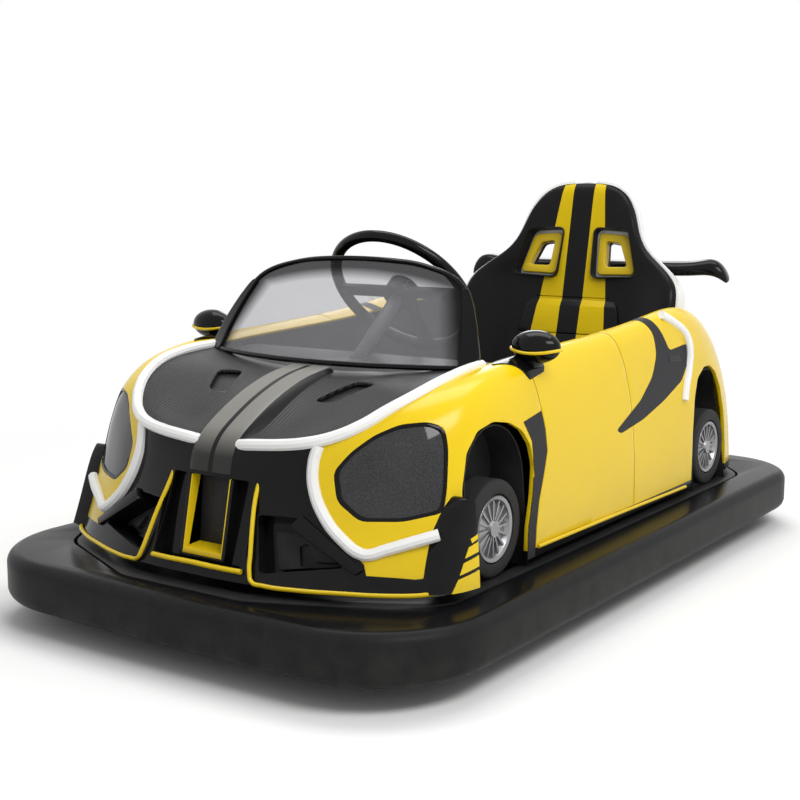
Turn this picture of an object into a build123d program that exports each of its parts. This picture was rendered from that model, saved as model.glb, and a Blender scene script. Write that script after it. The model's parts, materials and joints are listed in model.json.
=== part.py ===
from build123d import *
import os
from math import cos, hypot, radians, sin, sqrt

os.makedirs("parts", exist_ok=True)

# Bumper car, millimetres. +X is forward, +Y the driver's left, +Z up.
# The origin is on the floor, at the middle of the bumper ring.

# Bumper ring and floor
length = 1950
half_length = length / 2
half_width = 569
ring_bottom = 50
ring_top = 150
ring_edge_round = 26
ring_front_radius = 241
ring_rear_radius = 210
ring_bow = 17
groove = 5
ledge_depth = 24
deck_front = 907
deck_rear = -885
deck_half_width = 476
deck_curb = 38
pan_floor = 124
pan_bottom = 112
seat_gap = 0.3

# Body shell
sill_z = ring_top
plan_top_z = 620
skirt_top = 180
shoulder_round = 25
cockpit_half_width = 358
wall = 14
shut_gap = 3

# Real wheels
wheel_radius = 75
wheel_width = 44
tyre_depth = 17
tyre_round = 9
rear_axle_x = -485
rear_wheel_y = 300
drive_x = 590
axle_radius = 9
wheel_clearance = 12

# Wheels in the arches, which are trim
arch_front_x = 512
arch_rear_x = -540
arch_radius = 110
arch_top_z = 446
trim_wheel_radius = 96
trim_wheel_width = 58
trim_disc_radius = 68
liner_wall = 4
arch_depth = 92

# Seat
seat_lean = 14.4
seat_foot_x = -597
seat_foot_z = 500
seat_thickness = 46

# Windscreen
glass_thickness = 5
screen_base_z = 524
screen_base_x = 516
screen_base_bow = 104
screen_top_z = 752
screen_top_x = 327
screen_top_bow = 14
screen_frame = 20

# Steering wheel
wheel_hub_x = 175
wheel_hub_z = 660
rim_radius = 167
rim_tube = 13
column_angle = 40
column_radius = 17


def face_of(rows):
    """A flat face from rows of first coordinate, second coordinate, corner radius."""
    face = make_face(Polyline(*[(a, b) for a, b, _ in rows], close=True))
    for a, b, radius in rows:
        if radius > 0:
            corner = face.vertices().sort_by_distance((a, b, 0))[0]
            face = fillet(corner, radius)
    return face


def both_sides(rows):
    """Rows for +Y, followed by the same rows mirrored, last first."""
    return list(rows) + [(x, -y, radius) for x, y, radius in reversed(rows)]


def plan_prism(rows, low, high):
    """A plan outline (x, y, radius) standing from one height to another."""
    return Pos(0, 0, low) * extrude(face_of(rows), amount=high - low)


def side_prism(rows, y_from, y_to):
    """A side outline (x, z, radius) running from one y to another."""
    solid = extrude(Plane.XZ * face_of(rows), amount=-(y_to - y_from))
    return Pos(0, y_from, 0) * solid


def front_prism(rows, x_from, x_to):
    """A front outline (y, z, radius) running from one x to another."""
    return Pos(x_from, 0, 0) * extrude(Plane.YZ * face_of(rows), amount=x_to - x_from)


def block(x_from, x_to, y_from, y_to, z_from, z_to):
    size = (x_to - x_from, y_to - y_from, z_to - z_from)
    return Pos(x_from, y_from, z_from) * Box(*size, align=(Align.MIN, Align.MIN, Align.MIN))


def rod(start, end, radius):
    """A round bar between two points."""
    axis = Vector(*end) - Vector(*start)
    plane = Plane(origin=start, z_dir=axis)
    return extrude(plane * Circle(radius), amount=axis.length)


def wheel_shape(x, y, z, radius, width):
    """A cylinder across the car, centred on a point."""
    return Pos(x, y, z) * Rot(90, 0, 0) * Cylinder(radius, width)


def mirrored(shape):
    return mirror(shape, about=Plane.XZ)


def pair(shape):
    return shape + mirrored(shape)


def keep(name, shape):
    export_step(shape, f"parts/{name}.step")


# Bumper ring: a thick rubber ring with a ledge inside, on which the deck sits
def ring_outline():
    front_side = ThreePointArc(
        (half_length - ring_bow, -half_width), (half_length, 0), (half_length - ring_bow, half_width)
    )
    rest = Polyline(
        (half_length - ring_bow, half_width),
        (-half_length, half_width),
        (-half_length, -half_width),
        (half_length - ring_bow, -half_width),
    )
    face = make_face([front_side] + list(rest.edges()))
    for x, y, radius in (
        (half_length - ring_bow, half_width, ring_front_radius),
        (half_length - ring_bow, -half_width, ring_front_radius),
        (-half_length, half_width, ring_rear_radius),
        (-half_length, -half_width, ring_rear_radius),
    ):
        face = fillet(face.vertices().sort_by_distance((x, y, 0))[0], radius)
    return face


# Deck outline rows: x, y, corner radius
deck_rows = [
    (deck_front, 150, 90),
    (786, 418, 120),
    (700, deck_half_width, 90),
    (-700, deck_half_width, 120),
    (deck_rear, 330, 120),
]


def deck_outline(shrink=0.0):
    rows = []
    for x, y, radius in deck_rows:
        toward = 1 if x > 0 else -1
        rows.append((x - toward * shrink, y - shrink * 0.9, radius))
    return both_sides(rows)


ring_body = extrude(ring_outline(), amount=ring_top - ring_bottom)
ring_body = Pos(0, 0, ring_bottom) * ring_body
outer_edges = ring_body.edges().filter_by_position(Axis.Z, ring_bottom - 1, ring_bottom + 1)
outer_edges = outer_edges + ring_body.edges().filter_by_position(Axis.Z, ring_top - 1, ring_top + 1)
ring_body = fillet(outer_edges, ring_edge_round)
bumper_ring = ring_body - plan_prism(deck_outline(-groove), pan_bottom, ring_top + 1)
bumper_ring -= plan_prism(deck_outline(ledge_depth), ring_bottom - 1, pan_bottom)
keep("bumper_ring", bumper_ring)

# Steel frame under the deck, which hangs on the ring's ledge
rail_size = 38
rail_y = 236
frame_front = deck_front - ledge_depth - 83
frame_rear = deck_rear + ledge_depth + 24
rail_bottom = pan_bottom - rail_size
frame_members = []
for side in (-1, 1):
    y_low = side * rail_y - rail_size / 2
    frame_members.append(block(frame_rear, frame_front, y_low, y_low + rail_size, rail_bottom, pan_bottom))
for x in (-800, -350, 60, 430, 760):
    reach = deck_half_width - ledge_depth - 6
    if x > 700:
        reach = 345
    if x < -700:
        reach = 340
    frame_members.append(
        block(x - rail_size / 2, x + rail_size / 2, -reach, reach, rail_bottom, pan_bottom)
    )
chassis_frame = frame_members[0]
for member in frame_members[1:]:
    chassis_frame += member

# Deck pan with a curb round it, and openings over the real wheels
pan = plan_prism(deck_outline(), pan_bottom, sill_z)
pan -= plan_prism(deck_outline(deck_curb), pan_floor, sill_z + 1)
swing_radius = hypot(wheel_radius, wheel_width / 2) + wheel_clearance
pan -= Pos(drive_x, 0, pan_bottom) * Cylinder(swing_radius, 200)
rear_slot_half = wheel_radius + wheel_clearance
for side in (-1, 1):
    y_mid = side * rear_wheel_y
    slot_y = wheel_width / 2 + wheel_clearance
    pan -= block(
        rear_axle_x - rear_slot_half,
        rear_axle_x + rear_slot_half,
        y_mid - slot_y,
        y_mid + slot_y,
        pan_bottom - 1,
        sill_z + 1,
    )
keep("floor_pan", pan)

# Outer form of the body: a drafted plan form cut by the side profile
# Plan rows at the sill and at plan_top_z: x, y, corner radius
plan_low = [(882, 168, 60), (737, 468, 90), (-655, 468, 150), (-880, 330, 110)]
plan_high = [(722, 140, 50), (598, 430, 80), (-560, 430, 140), (-760, 300, 90)]
low_face = Pos(0, 0, sill_z) * face_of(both_sides(plan_low))
high_face = Pos(0, 0, plan_top_z) * face_of(both_sides(plan_high))
drafted = loft([low_face, high_face], ruled=True)

nose_tip = (930, 305)
nose_mid = (700, 473)
screen_foot = (516, 528)
belt_end = (-236, 598)
haunch = (-400, 611)
haunch_end = (-560, 583)
tail_mid = (-770, 490)
tail_tip = (-930, 300)
profile_edges = [
    ThreePointArc(nose_tip, nose_mid, screen_foot),
    Line(screen_foot, belt_end),
    ThreePointArc(belt_end, haunch, haunch_end),
    ThreePointArc(haunch_end, tail_mid, tail_tip),
    Line(tail_tip, (tail_tip[0], 0)),
    Line((tail_tip[0], 0), (nose_tip[0], 0)),
    Line((nose_tip[0], 0), nose_tip),
]
profile = extrude(Plane.XZ * make_face(profile_edges), amount=600, both=True)
envelope = drafted & profile
shoulder_edges = []
for edge in envelope.edges():
    middle = edge @ 0.5
    ends = (edge @ 0, edge @ 1)
    across = abs(ends[0].Y + ends[1].Y) < 1 and abs(ends[0].X - ends[1].X) < 1 and abs(middle.Y) < 1
    rising = abs(ends[0].Z - ends[1].Z) > 150
    if middle.Z > 320 and not across and not rising:
        shoulder_edges.append(edge)
envelope = fillet(shoulder_edges, shoulder_round)


def circle_through(first, second, third):
    """Centre and radius of the circle through three points."""
    (ax, ay), (bx, by), (cx, cy) = first, second, third
    scale = 2 * (ax * (by - cy) + bx * (cy - ay) + cx * (ay - by))
    a2, b2, c2 = ax * ax + ay * ay, bx * bx + by * by, cx * cx + cy * cy
    ux = (a2 * (by - cy) + b2 * (cy - ay) + c2 * (ay - by)) / scale
    uy = (a2 * (cx - bx) + b2 * (ax - cx) + c2 * (bx - ax)) / scale
    return ux, uy, hypot(ax - ux, ay - uy)


def hood_height(x):
    """Height of the hood's centre line at x."""
    if x < screen_foot[0]:
        share = (screen_foot[0] - x) / (screen_foot[0] - belt_end[0])
        return screen_foot[1] + share * (belt_end[1] - screen_foot[1])
    centre_x, centre_z, radius = circle_through(nose_tip, nose_mid, screen_foot)
    return centre_z + sqrt(radius**2 - (x - centre_x) ** 2)


def pushed(x=0.0, y=0.0, z=0.0):
    """The outer form moved inwards, to cut pockets of even depth."""
    return Pos(x, y, z) * envelope


# Line of the steering column, from the hub down to the cover over the drive unit
column_dir = (cos(radians(column_angle)), 0, -sin(radians(column_angle)))
drive_cover_top = 322
drive_cover_radius = swing_radius + 8
column_start = 26
column_end = (wheel_hub_z - drive_cover_top + 12) / sin(radians(column_angle))
shaft_radius = 9
shaft_depth = 90
running_gap = 0.3


def on_column(distance):
    """Point on the column's axis, at a distance from the steering wheel's centre."""
    return (wheel_hub_x + column_dir[0] * distance, 0, wheel_hub_z + column_dir[2] * distance)


column_passage = rod(on_column(column_start), on_column(column_end), column_radius + 2)

# Hollows
seat_plane_x = sin(radians(seat_lean))
seat_plane_z = cos(radians(seat_lean))
bulkhead_back = 66


def behind_seat(z):
    """x of the bulkhead behind the seat, which leans as the seat does."""
    return seat_foot_x - bulkhead_back / seat_plane_z - (z - seat_foot_z) * seat_plane_x / seat_plane_z


dash_rear = 352
footwell_front = 700
footwell_top = 418
cockpit = side_prism(
    [
        (behind_seat(pan_floor), pan_floor, 0),
        (behind_seat(700), 700, 0),
        (dash_rear, 700, 0),
        (dash_rear, footwell_top, 30),
        (footwell_front - 160, footwell_top, 0),
        (footwell_front, 330, 0),
        (footwell_front, pan_floor, 0),
    ],
    -cockpit_half_width,
    cockpit_half_width,
)
solid_body = envelope - cockpit

# Skirt, the black foot of the body
below_skirt_top = block(-1000, 1000, -600, 600, 0, skirt_top)
skirt = solid_body & below_skirt_top
upper = solid_body - below_skirt_top

# Arches, with straight sides down to the deck
arch_centre_z = arch_top_z - arch_radius
arch_cuts = []
liners = []
for x in (arch_front_x, arch_rear_x):
    rows = [
        (x - arch_radius, sill_z - 5, 0),
        (x - arch_radius, arch_top_z, arch_radius - 0.5),
        (x + arch_radius, arch_top_z, arch_radius - 0.5),
        (x + arch_radius, sill_z - 5, 0),
    ]
    inner_rows = [
        (x - arch_radius + liner_wall, sill_z - 5, 0),
        (x - arch_radius + liner_wall, arch_top_z - liner_wall, arch_radius - liner_wall - 0.5),
        (x + arch_radius - liner_wall, arch_top_z - liner_wall, arch_radius - liner_wall - 0.5),
        (x + arch_radius - liner_wall, sill_z - 5, 0),
    ]
    outside_y = 520
    inside_y = deck_half_width - arch_depth - 14
    arch = side_prism(rows, inside_y, outside_y)
    arch_cuts.append(pair(arch))
    liner = side_prism(rows, inside_y, outside_y) & pushed(y=-6)
    liner -= side_prism(inner_rows, inside_y + liner_wall, outside_y)
    liner -= below_skirt_top & block(-1000, 1000, -600, 600, 0, sill_z)
    liners.append(pair(liner))
for arch in arch_cuts:
    skirt -= arch
    upper -= arch
keep("body_skirt", skirt)
keep("arch_liners", liners[0] + liners[1])

# Trim wheels in the arches
trim_wheel_z = sill_z + trim_wheel_radius
trim_face_y = 455
tyres = None
discs = None
for x in (arch_front_x + 6, arch_rear_x):
    tyre = wheel_shape(x, trim_face_y - trim_wheel_width / 2, trim_wheel_z, trim_wheel_radius, trim_wheel_width)
    tyre = fillet(tyre.edges(), tyre_round)
    recess = wheel_shape(x, trim_face_y, trim_wheel_z, trim_disc_radius, 2 * 26)
    tyre -= recess
    disc = wheel_shape(x, trim_face_y - 26 + 9, trim_wheel_z, trim_disc_radius - seat_gap, 18)
    tyres = pair(tyre) if tyres is None else tyres + pair(tyre)
    discs = pair(disc) if discs is None else discs + pair(disc)
keep("trim_tyres", tyres)
keep("trim_discs", discs)

# Panel joints: curved shut lines in side view
front_shut = ThreePointArc((366, 640), (322, 420), (352, 100))
rear_shut = ThreePointArc((10, 640), (-72, 430), (-62, 100))


def region(first, second):
    """Space between two shut lines, or beyond one, across the whole car."""
    edges = []
    if first is None:
        edges.append(Line((1000, 640), (1000, 100)))
        front_top, front_low = (1000, 640), (1000, 100)
    else:
        edges.append(first)
        front_top, front_low = first @ 0, first @ 1
    if second is None:
        edges.append(Line((-1000, 640), (-1000, 100)))
        rear_top, rear_low = (-1000, 640), (-1000, 100)
    else:
        edges.append(second)
        rear_top, rear_low = second @ 0, second @ 1
    edges.append(Line(front_top, rear_top))
    edges.append(Line(front_low, rear_low))
    return extrude(Plane.XZ * make_face(edges), amount=600, both=True)


front_body = upper & region(None, Pos(shut_gap, 0, 0) * front_shut)
front_body -= column_passage
door_body = upper & region(front_shut, Pos(shut_gap, 0, 0) * rear_shut)
rear_body = upper & region(rear_shut, None)
left_half = block(-1000, 1000, 0, 600, 0, 800)

door_left = door_body & left_half
keep("door_left", door_left)
keep("door_right", mirrored(door_left))

# Hood: plan rows of the panel, x, y, corner radius
hood_rows = both_sides([(800, 190, 40), (688, 330, 50), (590, 350, 0), (430, 335, 0)])
light_radius = 10
hood_zone = plan_prism(hood_rows, 380, 700)
hood = (front_body & hood_zone) - pushed(x=-wall * 0.6, z=-wall)
front_body -= plan_prism(hood_rows, 0, 700) & (front_body & hood_zone)
front_body -= plan_prism(
    both_sides([(700, 250, 30), (600, 300, 30), (340, 352, 0)]), 300, 700
) & pushed(x=-wall * 0.6, z=-wall)

# Front fascia: front view rows of the black part, y, z, corner radius
fascia_rows = [
    (480, skirt_top, 0),
    (480, 206, 0),
    (352, 198, 0),
    (338, 232, 12),
    (262, 262, 40),
    (212, 350, 60),
    (178, 470, 0),
    (-178, 470, 0),
    (-212, 350, 60),
    (-262, 262, 40),
    (-338, 232, 12),
    (-352, 198, 0),
    (-480, 206, 0),
    (-480, skirt_top, 0),
]
fascia_zone = front_prism(fascia_rows, 660, 1000)
fascia = front_body & fascia_zone
front_body -= fascia_zone
fender_left = front_body & left_half

# Intakes, centre recess and headlights are pockets of even depth
intake_rows = [(140, 292, 6), (224, 291, 8), (330, 212, 8), (168, 188, 10)]
intake = front_prism(intake_rows, 700, 1000) - pushed(x=-40, y=-20)
recess_rows = [(-108, 196, 6), (-112, 330, 10), (112, 330, 10), (108, 196, 6)]
recess = front_prism(recess_rows, 700, 1000) - pushed(x=-34)
fascia -= pair(intake)
fascia -= recess
keep("front_fascia", fascia)

frame_rows = [(-55, 200, 4), (-62, 344, 4), (62, 344, 4), (55, 200, 4)]
frame_hole = [(-43, 212, 3), (-49, 360, 3), (49, 360, 3), (43, 212, 3)]
nose_frame = (front_prism(frame_rows, 700, 1000) & pushed(x=-8)) & recess
nose_frame -= front_prism(frame_hole, 700, 1000)
keep("nose_frame", nose_frame)

headlight_rows = [(248, 372, 22), (318, 450, 60), (424, 470, 22), (446, 300, 14), (296, 288, 24)]
lamp_pocket = front_prism(headlight_rows, 600, 1000) - pushed(x=-16, y=-8)
fender_left -= lamp_pocket
lens = (front_prism(headlight_rows, 600, 1000) & pushed(x=-2, y=-1)) - pushed(x=-15, y=-7.5)
lens -= plan_prism(hood_rows, 0, 700)


# Windscreen: a bowed sheet between a base arc and a top arc, cut to its outline
screen_reach = 420


def screen_band(z, x_middle, bow, front, back):
    """Curved strip in plan at one height, from front to back of the sheet."""
    drop = bow * (screen_reach / 352) ** 2
    outer = ThreePointArc(
        (x_middle + front - drop, -screen_reach), (x_middle + front, 0), (x_middle + front - drop, screen_reach)
    )
    inner = ThreePointArc(
        (x_middle + back - drop, -screen_reach), (x_middle + back, 0), (x_middle + back - drop, screen_reach)
    )
    ends = [Line(outer @ 0, inner @ 0), Line(outer @ 1, inner @ 1)]
    return Pos(0, 0, z) * make_face([outer, inner] + ends)


def screen_sheet(front, back):
    base = screen_band(screen_base_z, screen_base_x, screen_base_bow, front, back)
    top = screen_band(screen_top_z, screen_top_x, screen_top_bow, front, back)
    return loft([base, top], ruled=True)


def screen_rows(inset):
    """Front view rows of the screen: y, z, corner radius."""
    return [
        (352 - inset, screen_base_z + inset * 0.6, 6),
        (288 - inset, 708 - inset, 40),
        (190 - inset, 732 - inset, 60),
        (-190 + inset, 732 - inset, 60),
        (-288 + inset, 708 - inset, 40),
        (-352 + inset, screen_base_z + inset * 0.6, 6),
    ]


seated = Pos(0, 0, seat_gap) * envelope
glass = screen_sheet(0, -glass_thickness) & front_prism(screen_rows(screen_frame / 2), 200, 700)
glass -= seated
border = screen_sheet(4, -glass_thickness - 4) & front_prism(screen_rows(0), 200, 700)
border -= seated
border -= front_prism(screen_rows(screen_frame), 200, 700)
border -= glass
keep("windscreen", glass)
keep("windscreen_frame", border)
seated_screen = screen_sheet(5, -glass_thickness - 5) & front_prism(screen_rows(-1), 200, 700)


# Light strips: round tubes let into the panels, points x, y, z
def strip(points, radii, radius):
    path = FilletPolyline(*points, radius=radii)
    start = Plane(origin=path @ 0, z_dir=path % 0)
    return sweep(start * Circle(radius), path=path)


hood_points = []
for x, y in ((420, 345), (590, 358), (692, 330), (776, 236)):
    hood_points.append((x, y, hood_height(x) - 4))
hood_points.append((797, 150, hood_height(797) + 2))
strip_path = hood_points + [(x, -y, z) for x, y, z in reversed(hood_points)]
strip_bends = [200, 60, 50, 60, 60, 50, 60, 200]
hood_strip = strip(strip_path, strip_bends, light_radius) - seated_screen
hood_strip_seat = strip(strip_path, strip_bends, light_radius + seat_gap)
keep("hood", hood - hood_strip_seat)
keep("hood_light_strip", hood_strip)
keep("headlights", pair(lens - hood_strip_seat))
keep("fender_left", fender_left - hood_strip_seat)
keep("fender_right", mirrored(fender_left - hood_strip_seat))

# Rear fenders, tail and rear deck
rear_left = rear_body & left_half
tail_line = -700
tail_zone = block(-1000, tail_line, -600, 600, 0, 800)
tail = rear_body & tail_zone
keep("rear_fender_left", rear_left - tail_zone)
keep("rear_fender_right", mirrored(rear_left - tail_zone))
lamp_rows = [(180, 300, 16), (190, 352, 16), (320, 352, 16), (335, 300, 16)]
lamp_space = front_prism(lamp_rows, -1000, -700) - pushed(x=14)
lamp = (front_prism(lamp_rows, -1000, -700) & pushed(x=1)) - pushed(x=13)
keep("tail_panel", tail - pair(lamp_space))
keep("tail_lamps", pair(lamp))

# Dashboard under the screen
dash_half_width = 344
dash_rows = both_sides(
    [(500, 150, 40), (440, 300, 40), (372, dash_half_width - 4, 10), (300, dash_half_width, 20)]
)
dashboard = plan_prism(dash_rows, footwell_top + 12, 700)
dashboard &= pushed(x=-wall * 0.6, z=-wall - seat_gap)

# Seat, drawn in the leaning plane of its back: u across, v up the back
seat_plane = Plane(
    origin=(seat_foot_x, 0, seat_foot_z),
    x_dir=(0, 1, 0),
    z_dir=(seat_plane_z, 0, seat_plane_x),
)
back_rows = [
    (300, -330, 40),
    (322, -60, 0),
    (322, 158, 60),
    (196, 255, 70),
    (150, 424, 74),
    (-150, 424, 74),
    (-196, 255, 70),
    (-322, 158, 60),
    (-322, -60, 0),
    (-300, -330, 40),
]
hole_rows = [(96, 212, 12), (92, 262, 12), (128, 252, 14), (150, 190, 14), (104, 182, 12)]


def seat_slab(rows, low, high):
    """Outline in the leaning plane, from one depth to another along its normal."""
    return seat_plane * (Pos(0, 0, low) * extrude(face_of(rows), amount=high - low))


shell = seat_slab(back_rows, -seat_thickness, 0)
shell_hole = pair(seat_slab(hole_rows, -100, 100))
shell -= shell_hole
keep("seat_shell", shell)

# Cushion and riser
riser_front = -215
riser_top = 300
riser = side_prism(
    [
        (behind_seat(pan_floor) + 4, pan_floor, 0),
        (behind_seat(riser_top) + 4, riser_top, 0),
        (riser_front - 30, riser_top, 20),
        (riser_front, pan_floor, 0),
    ],
    -cockpit_half_width + 2,
    cockpit_half_width - 2,
)
riser -= block(-620, riser_front - 60, -cockpit_half_width + 14, cockpit_half_width - 14, 0, riser_top - 12)
riser -= shell
keep("seat_riser", riser)
cushion = side_prism(
    [(-540, riser_top + 0.3, 20), (-560, riser_top + 86, 20), (-200, riser_top + 96, 40), (-190, riser_top + 0.3, 30)],
    -240,
    240,
)
cushion -= seat_slab([(-400, -500, 0), (400, -500, 0), (400, 500, 0), (-400, 500, 0)], -200, 0.4)
keep("seat_cushion", cushion)
battery = block(-460, -280, -190, 190, pan_floor, pan_floor + 150)
keep("battery", battery)

# Rear wing on two posts
wing_rows = [(-380, 706, 0), (-300, 700, 40), (300, 700, 40), (380, 706, 0), (380, 690, 0), (300, 684, 40), (-300, 684, 40), (-380, 690, 0)]
wing = front_prism(wing_rows, -860, -760)
post = block(-840, -790, 150, 160, 400, 690)
wing += pair(post) - seated
keep("rear_wing", wing)

# Mirrors
mirror_y = 436
mirror_z = 571
# Sections of the pod from its flat back forwards: x, half width, half height
pod_rows = [(304, 46, 25), (334, 48, 27), (362, 30, 17), (372, 9, 6)]
pod_faces = []
for x, wide, high in pod_rows:
    pod_faces.append(Pos(x, mirror_y, mirror_z) * (Plane.YZ * Ellipse(wide, high)))
mirror_pod = loft(pod_faces)
mirror_foot = rod((330, 405, 500), (330, 424, mirror_z - 12), 9)
mirrors = pair(mirror_pod + mirror_foot) - seated
keep("mirrors", mirrors)

# Steering wheel and column
hub_plane = Plane(origin=(wheel_hub_x, 0, wheel_hub_z), x_dir=(0, 1, 0), z_dir=column_dir)
rim = hub_plane * Torus(rim_radius, rim_tube)
hub = hub_plane * (Pos(0, 0, 4) * Cylinder(38, 36))
spokes = hub_plane * (
    Box(2 * rim_radius - 4, 26, 12) + Pos(0, -rim_radius / 2, 0) * Box(30, rim_radius - 4, 12)
)
steering_wheel = rim + hub + (spokes - hub_plane * Torus(rim_radius, rim_tube))
steering_wheel += rim
steering_wheel += rod(on_column(0), on_column(column_start + shaft_depth - 10), shaft_radius)
column = rod(on_column(column_start), on_column(column_end), column_radius)
column -= rod(on_column(0), on_column(column_start + shaft_depth), shaft_radius + running_gap)
keep("steering_wheel", steering_wheel)


drive_cover = Pos(drive_x, 0, (pan_floor + drive_cover_top) / 2) * Cylinder(
    drive_cover_radius, drive_cover_top - pan_floor
)
drive_cover = fillet(drive_cover.edges().sort_by(Axis.Z)[-1], 30)
cover_inside = Pos(drive_x, 0, 130) * Cylinder(drive_cover_radius - 6, 2 * (drive_cover_top - 40 - 130))
drive_cover -= cover_inside
keep("dashboard", dashboard - column_passage)
keep("steering_column", column - drive_cover)
keep("drive_cover", drive_cover)

# Drive unit: swivel plate, fork, wheel
fork_top = wheel_radius * 2 + 14
fork = Pos(drive_x, 0, fork_top + 5) * Cylinder(60, 10)
fork += Pos(drive_x, 0, fork_top + 28) * Cylinder(20, 36)
for side in (-1, 1):
    y_low = side * (wheel_width / 2 + 10) - 4
    fork += block(drive_x - 22, drive_x + 22, y_low, y_low + 8, wheel_radius - 22, fork_top + 4)
fork += wheel_shape(drive_x, 0, wheel_radius, axle_radius, wheel_width + 28)
keep("drive_fork", fork)
bearing = Pos(drive_x, 0, fork_top + 40) * Cylinder(34, 20) - Pos(drive_x, 0, fork_top + 40) * Cylinder(20.3, 30)
bearing_top = fork_top + 50
bridge = block(drive_x - 25, drive_x + 25, -drive_cover_radius + 4, drive_cover_radius - 4, bearing_top + 1, bearing_top + 13)
bearing += Pos(drive_x, 0, bearing_top + 1) * Cylinder(34, 4)
bearing += bridge & (cover_inside + block(drive_x - 25, drive_x + 25, -60, 60, bearing_top, bearing_top + 20))
keep("drive_bearing", bearing)


def tyre_at(x, y):
    tyre = wheel_shape(x, y, wheel_radius, wheel_radius, wheel_width)
    tyre = fillet(tyre.edges(), tyre_round)
    return tyre - wheel_shape(x, y, wheel_radius, wheel_radius - tyre_depth, wheel_width + 10)


def rim_at(x, y):
    disc = wheel_shape(x, y, wheel_radius, wheel_radius - tyre_depth, wheel_width - 6)
    return disc - wheel_shape(x, y, wheel_radius, axle_radius + seat_gap, wheel_width + 10)


keep("drive_tyre", tyre_at(drive_x, 0))
keep("drive_rim", rim_at(drive_x, 0))
for name, side in (("left", 1), ("right", -1)):
    keep(f"rear_tyre_{name}", tyre_at(rear_axle_x, side * rear_wheel_y))
    keep(f"rear_rim_{name}", rim_at(rear_axle_x, side * rear_wheel_y))

# Rear axle bar, carried by two plates under the rails
axle_reach = rear_wheel_y + wheel_width / 2 + 8
rear_axle = wheel_shape(rear_axle_x, 0, wheel_radius, axle_radius, 2 * axle_reach)
for side in (-1, 1):
    y_low = side * rail_y - 6
    rear_axle += block(rear_axle_x - 26, rear_axle_x + 26, y_low, y_low + 12, wheel_radius - 16, rail_bottom)
chassis_frame -= wheel_shape(rear_axle_x, 0, wheel_radius, axle_radius, 2 * axle_reach)
keep("rear_axle", rear_axle)
swing = Pos(drive_x, 0, 100) * Cylinder(swing_radius, 200)
keep("chassis_frame", chassis_frame - swing)

# Pedal
pedal = block(486, 496, -190, -120, pan_floor, pan_floor + 130)
keep("pedal", pedal)
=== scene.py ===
import json
from math import cos, pi, radians, sin

import bmesh
import bpy
from mathutils import Matrix, Vector

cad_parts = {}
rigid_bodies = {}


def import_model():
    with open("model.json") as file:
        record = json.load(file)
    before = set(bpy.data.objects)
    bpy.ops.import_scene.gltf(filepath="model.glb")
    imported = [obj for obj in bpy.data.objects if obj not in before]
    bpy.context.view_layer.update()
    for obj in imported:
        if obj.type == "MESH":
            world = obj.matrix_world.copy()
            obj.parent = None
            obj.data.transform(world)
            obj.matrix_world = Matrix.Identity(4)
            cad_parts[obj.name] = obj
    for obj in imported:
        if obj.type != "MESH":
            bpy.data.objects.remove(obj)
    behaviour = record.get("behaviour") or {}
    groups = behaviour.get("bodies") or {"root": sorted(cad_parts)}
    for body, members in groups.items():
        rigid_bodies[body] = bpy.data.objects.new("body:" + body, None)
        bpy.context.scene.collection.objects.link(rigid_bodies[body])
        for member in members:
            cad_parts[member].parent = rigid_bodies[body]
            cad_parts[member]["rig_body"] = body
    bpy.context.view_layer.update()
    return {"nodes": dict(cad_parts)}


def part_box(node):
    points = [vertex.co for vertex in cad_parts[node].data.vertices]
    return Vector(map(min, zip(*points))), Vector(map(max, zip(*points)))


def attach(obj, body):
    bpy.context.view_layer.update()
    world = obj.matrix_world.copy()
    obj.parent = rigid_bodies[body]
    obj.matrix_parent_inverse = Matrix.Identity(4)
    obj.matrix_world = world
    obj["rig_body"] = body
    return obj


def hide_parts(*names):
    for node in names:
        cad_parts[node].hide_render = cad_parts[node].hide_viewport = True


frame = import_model()
nodes = frame["nodes"]

# Sizes and places that several pieces share, in metres
BODY = "chassis"
SHUT_GAP = 0.003
SEAM_REACH = 0.0008
SHELL_WALL = 0.009
SKIRT_TOP = 0.185
SILL_HEIGHT = 0.168
RIB_PITCH = 0.0078
TAIL_LINE = -0.700

# Viewpoint of the photograph, solved from the bumper ring
CAMERA_PLACE = (2.666, 1.7172, 0.8643)
CAMERA_YAW = 214.662
CAMERA_PITCH = 8.471
CAMERA_ROLL = 0.107
CAMERA_LENS = 60.33

# Colours, linear
YELLOW = (0.765, 0.535, 0.007, 1)
SEAT_YELLOW = (0.62, 0.44, 0.006, 1)
GLOSS_BLACK = (0.0045, 0.0045, 0.005, 1)
SATIN_BLACK = (0.009, 0.009, 0.0095, 1)
# Hood black, and the lighter colour put on the rib crests as a painted highlight
CARBON_DARK = (0.005, 0.005, 0.0055, 1)
RIB_CREST_HIGHLIGHT = (0.055, 0.053, 0.053, 1)
STRIPE_GREY = (0.235, 0.227, 0.204, 1)
LIGHT_WHITE = (0.80, 0.80, 0.79, 1)
FLOOR_PALE = (0.86, 0.86, 0.855, 1)


# Node helpers
def set_sockets(tree, made, sockets):
    """Links or values for a node's sockets, given by name or index."""
    for key, value in sockets.items():
        if isinstance(value, bpy.types.NodeSocket):
            tree.links.new(value, made.inputs[key])
        else:
            made.inputs[key].default_value = value


def add_node(tree, kind, sockets=None, **settings):
    """A shader node with its settings, and its sockets given by name or index."""
    made = tree.nodes.new(kind)
    for key, value in settings.items():
        setattr(made, key, value)
    set_sockets(tree, made, sockets or {})
    return made


def noise(tree, point, scale, detail):
    """The factor of a noise texture at a point."""
    settings = {"Vector": point, "Scale": scale, "Detail": detail}
    return add_node(tree, "ShaderNodeTexNoise", settings).outputs["Fac"]


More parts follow.
